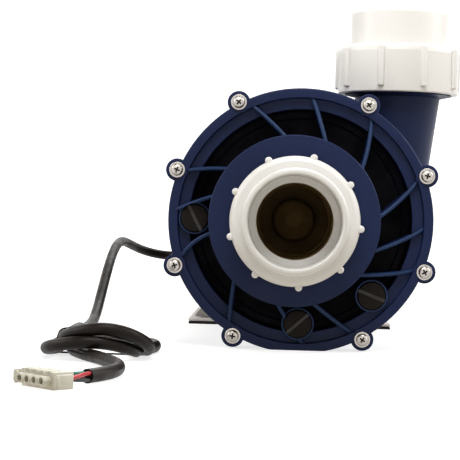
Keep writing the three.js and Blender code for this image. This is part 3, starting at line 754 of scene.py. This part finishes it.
def strain_relief():
    """A ribbed rubber boot, tapered towards the lead, with a flange against the canopy."""
    profile = [(0, 20), (6.9, 20, 0.4), (6.9, -GAP), (9.6, -GAP, 0.5), (9.6, -3, 0.8), (8.1, -4.2, 0.4)]
    for ring in range(6):
        along = -5 - ring * 3.1
        radius = 8.0 - ring * 0.5
        profile += [(radius, along - 0.1, 0.25), (radius - 0.1, along - 1.7, 0.3),
                    (radius - 1.1, along - 1.9, 0.2), (radius - 1.2, along - 2.9, 0.2)]
    profile += [(5.3, -23.3, 0.6), (4.3, -23.7, 0.2), (4.3, -22), (0, -22)]
    place = shift((EXIT_FACE_X, RIM_Y + CORD_EXIT_S, SHAFT_Z + CORD_EXIT_Z))
    body = lathe(profile, SMALL, arc=3)
    return piece("strain_relief_boot", body, [RUBBER], ("strain_relief",), place @ about("Z", -90))


def plug_piece():
    """The four-way plug: a block with a barrel for each pin, a latch at each end and grooves on top."""
    width = 2 * PIN_PITCH + 1.2
    base = block((0, -width, 0), (13.6, width, PLUG_THICK), 0.5)
    joins, cuts = [], []
    lying = about("Z", -90)
    for k in range(4):
        y = (k - 1.5) * PIN_PITCH
        barrel = lathe([(0, 13), (2.75, 13), (2.75, 18.2, 0.5), (0, 18.2)], 32)
        joins.append(moved(barrel, 0, y, PLUG_THICK / 2, lying))
        bore = turned([(0, 14.4), (1.75, 14.4), (1.75, 25), (0, 25)], 24)
        cuts.append(moved(bore, 0, y, PLUG_THICK / 2, lying))
        way = turned([(0, -1), (1.9, -1), (1.9, 5), (0, 5)], 24)
        cuts.append(moved(way, 0, y, PLUG_THICK / 2, lying))
        joins.append(block((9, y - 1.1, PLUG_THICK - 0.5), (16, y + 1.1, PLUG_THICK + 0.5), 0.2, 1))
        cuts.append(block((5, y - 0.8, PLUG_THICK - 0.8), (7.6, y + 0.8, PLUG_THICK + 2), 0.1, 1))
    for y in (-PIN_PITCH, 0, PIN_PITCH):
        cuts.append(block((-1, y - 0.55, PLUG_THICK - 1.3), (15, y + 0.55, PLUG_THICK + 1), 0.2, 1))
    latch = ((8, 10.2, -0.4, 3.8, 1.8, 0.4), (4.5, 15, 3.4, 4.9, 1, 0.4), (13.2, 15, 2.2, 5.6, 2, 0.3))
    for side in (-1, 1):
        for back, front, start, end, inset, edge in latch:
            near, far = sorted((side * (width + start), side * (width + end)))
            joins.append(block((back, near, inset), (front, far, PLUG_THICK - inset), edge))
    return piece("plug_body", built(base, joins, cuts), [NYLON], ("plug_housing",), AT_PLUG, 30)


lead_route = smoothed([*LEAD_ROUTE, *hank_route(), *TAIL_ROUTE], 3.0, 6)
lead = strand("cord", lead_route, CORD_RADIUS, JACKET, ("cord_lead", "cord_hank", "cord_tail"), 20)
for number, (colour, lane) in enumerate((("red", 0), ("green", 2), ("white", 3), ("black", 1))):
    route = conductor_route(number, lane)
    strand(f"conductor_{colour}", route, WIRE_RADIUS, WIRES[colour], (f"wire_{colour}",))
plug_piece()
strain_relief()
wire_tie()


# ---- Wet end ----

def rib(lip, collar, bow):
    """A stiffening rib of the cover: rounded along its top, and falling from the collar to the flange."""
    outer = Vector(polar(FLANGE_LIP + 1.2, lip))
    inner = Vector(polar(COLLAR_RADIUS - 1.5, collar, 0))
    along = (inner - outer).normalized()
    side = Vector((-along.y, along.x))
    middle = (outer + inner) / 2 + side * (2 * bow)
    half = RIB_WIDTH / 2
    rings = []
    for k in range(15):
        t = k / 14
        place = outer * (1 - t) ** 2 + middle * (2 * t * (1 - t)) + inner * t ** 2
        top = -10 + (place.length - (COLLAR_RADIUS - 2)) * 0.39
        section = [(-half - 0.35, FLOOR_FRONT + 1), (half + 0.35, FLOOR_FRONT + 1)]
        section += [(half * cos(bend), top + half - half * sin(bend)) for bend in HALF_TURN]
        rings.append([(place.x + side.x * a, s, place.y + side.y * a) for a, s in section])
    return loft(rings)


def spigot_mouth(end, inward):
    """A spigot's rounded end with the groove of its ring; inward is the way to its foot, 1 or -1."""
    floor = end + GROOVE_DEPTH * inward
    return [(THREAD_RADIUS, end + 0.4 * inward), (THREAD_RADIUS - 0.6, end, 0.2), (GROOVE_OUTER, end),
            (GROOVE_OUTER, floor), (GROOVE_INNER, floor), (GROOVE_INNER, end)]


def at_ears(radius, start, end, edge=0.0, sides=SMALL):
    return [rod(radius, start, end, *polar(EAR_CIRCLE, angle), edge, sides) for angle in EAR_ANGLES]


def under_cut():
    """The casing stands on a short flat under its lowest point."""
    return block((CASING_X - 40, -30, -SHAFT_Z - 20), (CASING_X + 40, 50, -SHAFT_Z))


def whereabouts(face):
    """A face's distance from the shaft's axis and from the casing's, and its place along them."""
    middle = face.calc_center_median()
    return hypot(middle.x, middle.z), hypot(middle.x - CASING_X, middle.z), middle.y


def in_throat(face):
    inner, _, along = whereabouts(face)
    return inner < THROAT_RADIUS + 0.6 and along > SPIGOT_END + 1


def in_recess(face):
    """The recess's floor and its two round walls, but not the ribs that cross it. These faces take the
    painted shade.
    """
    inner, outer, along = whereabouts(face)
    if along < STEP_DEPTH + 0.9 or along > FLOOR_FRONT + 0.2:
        return False
    return face.normal.y < -0.8 or inner < COLLAR_RADIUS + 0.5 or outer > STEP_RADIUS - 0.6


# Rib faces, which take the painted highlight.
def on_rib(face):
    inner, outer, along = whereabouts(face)
    return inner > COLLAR_RADIUS + 0.2 and outer < FLANGE_LIP - 0.2 and along < STEP_DEPTH - 0.2


def front_cover():
    """The cover: a flanged dish with ribs and ears, and the collar with its threaded spigot."""
    ledge = FLOOR_FRONT - 2.2
    ring = turned(rounded([
        (FLANGE_LIP, 0, 0.6), (FLANGE_RADIUS, 0, 1.2), (FLANGE_RADIUS, COVER_FLANGE, 0.4),
        (PLUG_RADIUS, COVER_FLANGE), (PLUG_RADIUS, FLOOR_BACK), (FLOOR_INNER, FLOOR_BACK),
        (FLOOR_INNER, FLOOR_FRONT), (70.5, FLOOR_FRONT, 0.5), (71.2, ledge, 0.5),
        (STEP_RADIUS - 0.5, ledge, 1.2), (STEP_RADIUS, STEP_DEPTH, 0.9), (FLANGE_LIP, STEP_DEPTH, 0.7),
    ]))
    moved(ring, CASING_X)
    start, end = SPIGOT_END, COLLAR_FRONT
    wall = rows(THREAD_RADIUS, end - 0.4, start + 0.6, 0.45)
    collar_profile = [
        *rounded([(COLLAR_RADIUS - WALL, FLOOR_BACK), (COLLAR_FOOT, FLOOR_BACK), (COLLAR_FOOT, FLOOR_FRONT),
                  (COLLAR_RADIUS + 0.3, FLOOR_FRONT - 0.2, 1.5), (COLLAR_RADIUS, end, 1.1),
                  (THREAD_RADIUS, end)], ends=True),
        *wall,
        *rounded([*spigot_mouth(start, 1), (THROAT_RADIUS, start, 0.8), (THROAT_RADIUS, FLOOR_BACK),
                  (EYE_INNER, FLOOR_BACK), (EYE_INNER, EYE_BACK), (EYE_OUTER, EYE_BACK),
                  (EYE_OUTER, end + WALL), (COLLAR_RADIUS - WALL, end + WALL)], ends=True),
    ]
    collar = turned(collar_profile, form=thread(start, end - 1, THREAD_PITCH, THREAD_DEPTH, THREAD_RADIUS))
    joins = [collar, *[rib(*place) for place in RIBS], *at_ears(EAR_RADIUS, 0, COVER_FLANGE, 0.8)]
    cuts = [*at_ears(SCREW_HOLE, -1, COVER_FLANGE + 1, sides=24), under_cut()]
    for angle, orbit, _ in DRAINS:
        place = polar(orbit, angle)
        joins.append(rod(DRAIN_BOSS, 0.6, FLOOR_BACK, *place, 0.5))
        cuts.append(rod(DRAIN_HEAD + 0.4, -20, DRAIN_SEAT, *place, sides=64))
        cuts.append(rod(DRAIN_STEM + 0.4, 0, FLOOR_BACK + 1, *place, sides=64))
    around = turned([(PLUG_RADIUS, COVER_FLANGE), (100, COVER_FLANGE), (100, 30), (PLUG_RADIUS, 30)])
    cuts.append(moved(around, CASING_X))
    cover = built(ring, joins, cuts)
    # The recess takes a painted shade, a near-black copy of the navy; the ribs take a painted highlight, a
    # paler and bluer copy.
    looks = [NAVY, THROAT, RECESS_SHADE, RIB_HIGHLIGHT_NAVY]
    for test, look in ((in_throat, THROAT), (on_rib, RIB_HIGHLIGHT_NAVY), (in_recess, RECESS_SHADE)):
        painted(cover, test, looks.index(look))
    piece("cover_moulding", cover, looks, ("front_cover",), crease=32)


def volute_ring(inset, along):
    """The volute's outline grows counter-clockwise, seen from the suction, from tongue to outlet."""
    count = 144
    ring = []
    for k in range(count):
        angle = TONGUE_ANGLE + 360 * k / count
        grown = min((angle - TONGUE_ANGLE) / (360 - TONGUE_ANGLE), 1)
        past = max(angle - 360, 0) / TONGUE_ANGLE
        radius = VOLUTE_START + (VOLUTE_END - VOLUTE_START) * (grown - past) - inset
        x, z = polar(radius, angle)
        ring.append((x, along, z))
    return ring


def volute(inset, front, back, edge):
    """The drum, with its back edge rounded."""
    rings = [volute_ring(inset, front), volute_ring(inset, back - edge)]
    for k in range(1, 9):
        bend = pi / 2 * k / 8
        rings.append(volute_ring(inset + edge * (1 - cos(bend)), back - edge + edge * sin(bend)))
    return loft(rings)


def leaning_pipe(low, high, foot_radius, top_radius):
    """The neck leans: its axis runs from the neck's foot to the outlet."""
    rings = []
    for height in (low, high):
        share = height / OUTLET_Z
        x = NECK_FOOT_X + (OUTLET_X - NECK_FOOT_X) * share
        radius = foot_radius + (top_radius - foot_radius) * share
        rings.append([(x + radius * cos(turn), OUTLET_S + radius * sin(turn), height) for turn in circle(96)])
    return loft(rings)


def raised(profile, form=None):
    """A solid turned about the outlet's upright axis; the profile's heights are above the shaft."""
    body = turned([(radius, -height) for radius, height in profile], 128, form)
    return moved(body, OUTLET_X, OUTLET_S, 0, about("X", -90))


def gusset(angle):
    """A web on the casing's back, from the motor adapter to the drum's edge."""
    half = 1.6
    outline = ((66, VOLUTE_BACK - 9), (84, VOLUTE_BACK - 9), (80, VOLUTE_BACK - 1), (74, VOLUTE_BACK + 2),
               (72, MOTOR_FACE - 1), (66, MOTOR_FACE - 1))
    return moved(loft([[(x, y, z) for x, y in outline] for z in (-half, half)]), turn=about("Y", -angle))


def in_outlet(face):
    middle = face.calc_center_median()
    return hypot(middle.x - OUTLET_X, middle.y - OUTLET_S) < THROAT_RADIUS + 0.3 and middle.z > 70


def rear_casing():
    """The casing: a flange, the drum with its leaning neck, the threaded outlet and the motor's seat."""
    flange = turned(rounded([
        (81, CASING_FRONT), (FLANGE_RADIUS, CASING_FRONT, 0.5), (FLANGE_RADIUS, CASING_FLANGE_BACK, 1.2),
        (85, CASING_FLANGE_BACK, 1.0), (85, 31), (81, 31),
    ]))
    moved(flange, CASING_X)
    shoulder = OUTLET_Z - 2
    top = OUTLET_Z + NUT_REACH
    spigot = raised([
        *rounded([(0, shoulder - 0.4), (NECK_RADIUS, shoulder - 0.4), (THREAD_RADIUS, shoulder + 1.4)],
                 ends=True),
        *rows(THREAD_RADIUS, shoulder + 1.8, top - 0.6, 0.45),
        *rounded([*spigot_mouth(top, -1), (0, top)], ends=True),
    ], thread(-top, -shoulder - 2, THREAD_PITCH, THREAD_DEPTH, THREAD_RADIUS))
    joins = [
        volute(0, CASING_FLANGE_BACK - 1, VOLUTE_BACK, 7),
        leaning_pipe(0, shoulder, NECK_FOOT_RADIUS, NECK_RADIUS), spigot,
        turned(rounded([(66, VOLUTE_BACK - 1), (73, VOLUTE_BACK - 1), (73, MOTOR_FACE - GAP, 0.6),
                        (66, MOTOR_FACE - GAP)])),
        *at_ears(EAR_RADIUS, CASING_FRONT, CASING_FLANGE_BACK, 0.8),
        *[gusset(22.5 + 45 * k) for k in range(8)],
    ]
    mouth = rod(81, 5, 28.5, CASING_X, sides=ROUND)
    throat = [leaning_pipe(6, OUTLET_Z, THROAT_RADIUS, THROAT_RADIUS),
              raised([(0, OUTLET_Z - 3), (THROAT_RADIUS, OUTLET_Z - 3), (THROAT_RADIUS, 130), (0, 130)])]
    cuts = [volute(WALL, 28, VOLUTE_BACK - WALL, 5), mouth, *throat, under_cut()]
    seal_pocket = turned([(11, 84), (22, 84), (22, VOLUTE_BACK), (11, VOLUTE_BACK)])
    casing = built(built(flange, joins, cuts), [seal_pocket],
                   [rod(16, 83, VOLUTE_BACK - WALL, sides=96), rod(11, 83, VOLUTE_BACK + 1, sides=96),
                    *at_ears(SCREW_HOLE, 5, 20, sides=24)])
    painted(casing, in_outlet)
    piece("casing_moulding", casing, [NAVY, THROAT], ("rear_casing",), crease=32)


def union_nut(name, turn, rides, node, place):
    """A union nut: nine half-round grips, a rounded shoulder, and a thread inside."""
    ledge = 6.2 - NUT_HEIGHT
    shoulder = 1.6 - NUT_HEIGHT
    bore = rows(NUT_BORE, -0.6, ledge + 0.6, 0.5)
    profile = [
        *rounded([(NUT_LIP, -NUT_HEIGHT), (NUT_LIP + 0.4, -NUT_HEIGHT, 0.3), (39.6, -NUT_HEIGHT, 1.6),
                  (42.2, shoulder, 1.8), (NUT_RADIUS, 5 - NUT_HEIGHT, 2), (NUT_RADIUS, 0, 1.0),
                  (NUT_BORE + 0.6, 0, 0.3), (NUT_BORE, -0.6)], ends=True),
        *bore[1:], (NUT_BORE, ledge), (NUT_LIP, ledge),
    ]
    body = turned(profile, form=thread(ledge, -0.3, THREAD_PITCH, -1.1, NUT_BORE))
    grips = []
    for k in range(NUT_RIBS):
        corners = [(0, shoulder), (NUT_RIB, shoulder, 1.5), (NUT_RIB, -3.5, 1.3), (0, -3.5)]
        x, z = polar(NUT_RADIUS + 0.4, turn + 360 * k / NUT_RIBS, 0)
        grips.append(moved(lathe(corners, 28), x, 0, z))
    piece(name, built(body, grips), [PVC], (node,), place, rides=rides)


def tailpiece(name, rides, node, place):
    """A pipe socket with a chamfered mouth, and small moulding marks on its face."""
    face, seat = -TAIL_LENGTH, -4.7
    body = turned(rounded([
        (THROAT_RADIUS, 0, 0.4), (37.9, 0, 0.4), (37.9, -6, 0.4), (TAIL_RADIUS, -6, 0.4),
        (TAIL_RADIUS, face, 2.4), (SOCKET_RADIUS + 0.9, face, 0.3), (SOCKET_RADIUS, face + 1.2, 0.3),
        (SOCKET_RADIUS - 0.35, seat, 0.3), (THROAT_RADIUS, seat, 0.6),
    ]))
    marks = [rod(0.55, face - 1, face + 0.35, *polar(33.4, 28 + 45 * k, 0), sides=16) for k in range(8)]
    piece(name, built(body, (), marks), [PVC], (node,), place, rides=rides)


def in_drive(face):
    """The walls of a screw's cross recess, and its floor."""
    across, _, along = whereabouts(face)
    wall = across < 2.4 and -3.95 < along < -2 and abs(face.normal.y) < 0.75
    return wall or across < 1.6 and along > -2.3


def cover_screw(number, angle, turn):
    """A pan-head screw on its washer, with a cross recess."""
    head = lathe([(0, -4.35), (1.6, -4.25, 1.5), (3.6, -3.6, 1.6), (4.25, -1.7, 0.4), (4.25, -1.35),
                  (5.45, -1.35, 0.3), (5.45, -GAP, 0.2), (2.3, -GAP), (2.3, 18), (1.2, 19), (0, 19)], SMALL)
    cross = []
    for quarter in (0, 1):
        ends = ((2.3, -5, 0.6), (1.4, -2.2, 0.45))
        arm = loft([[(-a, s, -b), (a, s, -b), (a, s, b), (-a, s, b)] for a, s, b in ends])
        cross.append(moved(arm, turn=about("Y", 90 * quarter)))
    # The recess's walls and floor take the darker material.
    body = painted(built(head, (), cross), in_drive)
    x, z = polar(EAR_CIRCLE, angle)
    moved(body, x, 0, z, about("Y", turn))
    piece(f"screw_{number}", body, [STAINLESS, DRIVE], (f"cover_screw_{number}",))


def drain_plug(number, angle, orbit, slot_way):
    """A drain plug: a flat head with a coin slot, and a threaded stem."""
    body = turned([
        *rounded([(0, -0.6), (DRAIN_HEAD, -0.6, 0.9), (DRAIN_HEAD, 5, 0.4), (DRAIN_STEM, 5)], ends=True),
        *rows(DRAIN_STEM, 8.6, DRAIN_END - 0.8, 0.28),
        (DRAIN_STEM - 0.8, DRAIN_END), (0, DRAIN_END),
    ], 64, thread(8.5, DRAIN_END - 0.5, DRAIN_PITCH, 0.5, DRAIN_STEM))
    depth = 0.9
    slot = block((-15, -3, -1.2), (15, depth, 1.2), 0.25)
    # The slot's floor takes a much paler material than the head.
    body = painted(built(body, (), [slot]), lambda face: abs(whereabouts(face)[2] - depth) < 0.3)
    x, z = polar(orbit, angle)
    moved(body, x, 0, z, about("Y", -slot_way))
    piece(f"drain_plug_head_{number}", body, [BLACK, SLOT_FLOOR], (f"drain_plug_{number}",), crease=30,
          rides=f"drain_{number}")


def impeller():
    """A closed impeller: two shrouds, six vanes that sweep backwards, and a hub with a rounded nose."""
    hub = lathe([(0, 35.5), (5, 35.5, 4), (15, 42, 6), (15, 64, 0.5), (8.3, 64), (8.3, 41.6), (0, 41.6)], 64)
    back = turned(rounded([(8.3, 56), (60, 56, 0.8), (60, 60, 0.8), (8.3, 60)]), 96)
    front = turned(rounded([(24, 27, 0.6), (27, 27, 0.6), (27, 38, 2), (60, 45, 0.5), (60, 47.5, 0.5),
                            (24, 40.5, 2)]), 96)
    reach = turned([(20, 39.7), (24, 39.7), (59, 46.5), (59, 57), (20, 57)], 96)
    vanes = []
    for vane in range(6):
        front_edge, back_edge = [[polar(22 + k * 3.2, vane * 60 - k * 5.75 + lead, 0) for k in range(13)]
                                 for lead in (0, 2.4)]
        outline = [*front_edge, *reversed(back_edge)]
        vanes.append(loft([[(x, along, z) for x, z in outline] for along in (38, 58)]))
    vanes = built(vanes[0], vanes[1:], (), [reach])
    wheel = built(back, [hub, front, vanes])
    piece("impeller_wheel", wheel, [THROAT], ("impeller",), rides="rotor")


front_cover()
rear_casing()
impeller()
for number, (angle, turn) in enumerate(zip(EAR_ANGLES, (12, 55, 38, 20, 70, 8, 33, 61)), 1):
    cover_screw(number, angle, turn)
for number, drain in enumerate(DRAINS, 1):
    drain_plug(number, *drain)
AT_SUCTION_NUT = WET_END @ shift((0, SPIGOT_END + NUT_REACH, 0))
AT_SUCTION_TAIL = WET_END @ shift((0, SPIGOT_END - GAP, 0))
AT_DISCHARGE_TAIL = UPRIGHT @ shift((0, -NUT_REACH - GAP, 0))
union_nut("suction_union_ring", 34.8, "suction_union_nut", "suction_nut", AT_SUCTION_NUT)
tailpiece("suction_socket", "suction_half", "suction_tailpiece", AT_SUCTION_TAIL)
union_nut("discharge_union_ring", -70, "discharge_union_nut", "discharge_nut", UPRIGHT)
tailpiece("discharge_socket", "discharge_half", "discharge_tailpiece", AT_DISCHARGE_TAIL)


# ---- Motor ----

def bolt_solids(radius, start, end):
    places = [polar(BOLT_CIRCLE, angle, 0) for angle in (45, 135, 225, 315)]
    return [rod(radius, start, end, *place, sides=24) for place in places]


def vent(angle, start, end, half_width):
    """A round-ended slot through the motor's wall."""
    arc = [(half_width * sin(bend), half_width * cos(bend)) for bend in HALF_TURN]
    outline = [(end - half_width + out, across) for out, across in arc]
    outline += [(start + half_width - out, -across) for out, across in arc]
    rings = [[(x, s, z) for s, z in outline] for x in (MOTOR_RADIUS - 9, MOTOR_RADIUS + 6)]
    return moved(loft(rings), turn=about("Y", -angle))


def end_bell(name, node, face, rim, hub_end):
    """A cast end bell: face is its closed end and rim its open one, where it meets the shell."""
    inward = 1 if rim > face else -1
    inner = face + WALL * inward
    body = turned(rounded([
        (BELL_HOLE, face, 0.5), (MOTOR_RADIUS, face, 2.5), (MOTOR_RADIUS, rim, 0.4), (BELL_INNER, rim),
        (BELL_INNER, inner, 1.5), (HUB_OUTER, inner, 1.0), (HUB_OUTER, hub_end, 0.5), (HUB_INNER, hub_end),
        (HUB_INNER, inner), (BELL_HOLE, inner),
    ]))
    low, high = sorted((face - 5 * inward, inner + 6 * inward))
    first, last = sorted((inner + 1.5 * inward, rim - 3 * inward))
    slots = [vent(angle, first, last, 2.0) for angle in range(190, 351, 10)]
    piece(name, built(body, (), [*bolt_solids(2.6, low, high), *slots]), [CAST], (node,), crease=32)


def motor_shell():
    """The rolled shell, with a groove near each end."""
    outer = [(MOTOR_RADIUS, SHELL_FRONT, 0.5)]
    bottom = MOTOR_RADIUS - 1.2
    for bead in (SHELL_FRONT + 12, SHELL_BACK - 12):
        outer += [(MOTOR_RADIUS, bead - 2.5, 1.5), (bottom, bead - 1, 1), (bottom, bead + 1, 1),
                  (MOTOR_RADIUS, bead + 2.5, 1.5)]
    outer += [(MOTOR_RADIUS, SHELL_BACK, 0.5), (SHELL_INNER, SHELL_BACK), (SHELL_INNER, SHELL_FRONT)]
    piece("motor_tube", turned(rounded(outer, arc=3)), [PAINT], ("motor_shell",))


def motor_canopy():
    """The pressed cover over the motor's back end, with louvres, its screws and the lead's boss."""
    outer = MOTOR_RADIUS - 1
    thin = 1.8
    inside = MOTOR_END - 4.1
    body = turned(rounded([
        (0, MOTOR_END), (24, MOTOR_END, 4), (30, MOTOR_END - 1.6, 4), (outer - 3, MOTOR_END - 1.6, 11),
        (outer, MOTOR_END - 16, 6), (outer, BELL_BACK + GAP, 0.4), (outer - thin, BELL_BACK + GAP),
        (outer - thin, MOTOR_END - 14, 8), (outer - 11, inside, 4), (0, inside),
    ], ends=True))
    lying = about("Z", 90)
    boss = moved(lathe([(0, 0), (11.5, 0, 0.8), (11.5, 34), (0, 34)], 64), EXIT_FACE_X + 34, CORD_EXIT_S,
                 CORD_EXIT_Z, lying)
    way = moved(rod(7.3, -1, 40), EXIT_FACE_X + 39, CORD_EXIT_S, CORD_EXIT_Z, lying)
    louvres = []
    for row in range(5):
        for side in (-1, 1):
            z = 34 - row * 9
            low, high = sorted((side * 9, side * 48))
            louvres.append(block((low, MOTOR_END - 8, z - 1.3), (high, MOTOR_END + 2, z + 1.3), 0.9, 2))
    boss = built(boss, (), [rod(61, BELL_BACK, inside, sides=96)])
    body = built(body, [boss], [way, *louvres])
    for side in (-1, 1):
        head = lathe([(0, 0), (3.6, 0, 0.2), (3.4, 1.4, 0.8), (0, 2.2)], 32)
        slot = block((-5, 1.2, -0.4), (5, 4, 0.4))
        body = built(body, [moved(built(head, (), [slot]), side * 30, MOTOR_END - 2, -46)])
    piece("motor_cover", body, [PAINT], ("motor_canopy",), crease=32)


def motor_foot():
    """The pressed foot: a slotted plate on a rubber mat, and two end plates that cup the shell."""
    low = MAT + GAP
    half, length = FOOT_WIDTH / 2, FOOT_LENGTH / 2
    saddle_radius = MOTOR_RADIUS + GAP
    plate = block((-half, -length, low), (half, length, low + FOOT_PLATE), 0.8)
    side = []
    for k in range(17):
        t = k / 16
        side.append((CRADLE_FOOT * (1 - t) ** 2 + 70 * 2 * t * (1 - t) + CRADLE_TOP * t * t,
                     low * (1 - t) ** 2 + 19 * 2 * t * (1 - t) + 29 * t * t))
    saddle = [(x, SHAFT_Z - sqrt(saddle_radius ** 2 - x * x)) for x in range(48, -49, -4)]
    outline = [*side, *saddle, *[(-x, z) for x, z in reversed(side)]]
    ends = [loft([[(x, y + inset, z) for x, z in outline] for inset in (0, CRADLE_PLATE)])
            for y in (-CRADLE_Y, CRADLE_Y - CRADLE_PLATE)]
    cradle = moved(turned([(0, -80), (saddle_radius, -80), (saddle_radius, 80), (0, 80)]), 0, 0, SHAFT_Z)
    corners = [(a * SLOT_X, b * SLOT_Y) for a in (-1, 1) for b in (-1, 1)]
    slots = [block((x - SLOT_LONG / 2, y - SLOT_WIDE / 2, -5), (x + SLOT_LONG / 2, y + SLOT_WIDE / 2, 20),
                   SLOT_WIDE / 2 - 0.1, 6) for x, y in corners]
    beads = [rod(3, -40, 40, x, low + FOOT_PLATE - 1.2, 2.5, 32) for x in (-36, 36)]
    foot = built(plate, [*ends, *beads], [cradle, *slots])
    piece("motor_cradle", foot, [ZINC], ("foot_base",), FLOOR)
    mat = block((-half, -length, 0), (half, length, MAT), 0.5)
    holes = [moved(rod(5.5, -5, 5, sides=32), x, y, 0, about("X", 90)) for x, y in corners]
    piece("foot_pad", built(mat, (), holes), [RUBBER], ("foot_mat",), FLOOR)


motor_shell()
end_bell("front_bell", "front_end_bell", MOTOR_FACE, SHELL_FRONT - GAP, SHELL_FRONT - GAP)
end_bell("rear_bell", "rear_end_bell", BELL_BACK, SHELL_BACK + GAP, SHELL_BACK + 2)
motor_canopy()
motor_foot()


# ---- Inner parts, which keep their CAD shape ----

def dress(look, *nodes):
    for node in nodes:
        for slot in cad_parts[node].material_slots:
            slot.material = look.material


dress(RUBBER, "casing_gasket", "suction_oring", "discharge_oring", "slinger")
dress(RUBBER, "drain_ring_1", "drain_ring_2", "drain_ring_3")
dress(BLACK, "seal_head", "cooling_fan", "capacitor")
dress(STAINLESS, "wear_ring", "seal_spring", "shaft")
dress(CERAMIC, "seal_seat")
dress(ZINC, "front_bearing", "rear_bearing")
dress(ZINC, "through_bolt_1", "through_bolt_2", "through_bolt_3", "through_bolt_4")
dress(LAMINATED, "stator_core", "rotor_core")
dress(COPPER, "front_winding", "rear_winding")


# ---- Floor and light ----

def studio_floor():
    """A pale round floor that glows more and more with distance and curves up into a wall all round."""
    flat, bend_radius, wall, sides = 6.0, 2.0, 9.0, 96
    profile = [(0.5, 0.0), (flat, 0.0)]
    for k in range(1, 13):
        bend = pi / 2 * k / 12
        profile.append((flat + bend_radius * sin(bend), bend_radius * (1 - cos(bend))))
    profile.append((flat + bend_radius, wall))
    body = bmesh.new()
    rings = [[body.verts.new((radius * cos(turn), radius * sin(turn), height)) for turn in circle(sides)]
             for radius, height in profile]
    body.faces.new(rings[0])
    for low, high in zip(rings, rings[1:]):
        for k in range(sides):
            body.faces.new((low[k], low[k - 1], high[k - 1], high[k]))
    floor = shell("floor", body)
    floor.data.shade_smooth()
    made = Surface("floor_paper", (0.45, 0.45, 0.45), 0.95, specular=0.1)
    made.tint((3, 3), (0.42, 0.42, 0.42), 0.5)
    away = made.node("ShaderNodeVectorMath", {"Vector": made.place}, operation="LENGTH").outputs["Value"]
    made.set(Emission_Color=(1, 1, 1, 1))
    made.tree.links.new(made.ranged(away, 0.62, 1.05, 0.4, 1.8), made.shader.inputs["Emission Strength"])
    floor.data.materials.append(made.material)
    floor.visible_diffuse = False


def softbox(name, place, aim, size, power):
    lamp = bpy.data.lights.new(name, "AREA")
    lamp.shape = "RECTANGLE"
    lamp.size, lamp.size_y = size
    lamp.energy = power
    made = linked(name, lamp)
    made.location = place
    made.rotation_euler = (Vector(aim) - Vector(place)).to_track_quat("-Z", "Y").to_euler()


def studio_light():
    """Four softboxes, and a warm fill that is stronger from below than from above."""
    fill_below, fill_above = 0.8, 0.06
    world = bpy.data.worlds.new("studio")
    world.use_nodes = True
    tree = world.node_tree
    sky = tree.nodes["Background"].inputs
    sky["Color"].default_value = (1, 0.93, 0.82, 1)
    way = add_node(tree, "ShaderNodeTexCoord", {}).outputs["Generated"]
    height = add_node(tree, "ShaderNodeSeparateXYZ", {"Vector": way}).outputs["Z"]
    limits = {"From Min": -1, "To Min": fill_below, "To Max": fill_above}
    glow = add_node(tree, "ShaderNodeMapRange", {"Value": height}, **limits)
    tree.links.new(glow.outputs["Result"], sky["Strength"])
    bpy.context.scene.world = world
    middle = (0, -0.3, 0.1)
    softbox("key", (0.0, -0.68, 0.76), middle, (0.5, 0.35), 4.1)
    softbox("left", (-1.3, -0.4, 0.8), middle, (0.6, 0.8), 5.5)
    softbox("right", (1.2, -0.1, 0.9), middle, (0.6, 0.8), 9)
    softbox("back", (0.2, 1.2, 1.5), middle, (1.4, 0.8), 12)
    view = bpy.context.scene.view_settings
    view.view_transform = "Standard"
    view.look = "Medium High Contrast"


studio_floor()
studio_light()
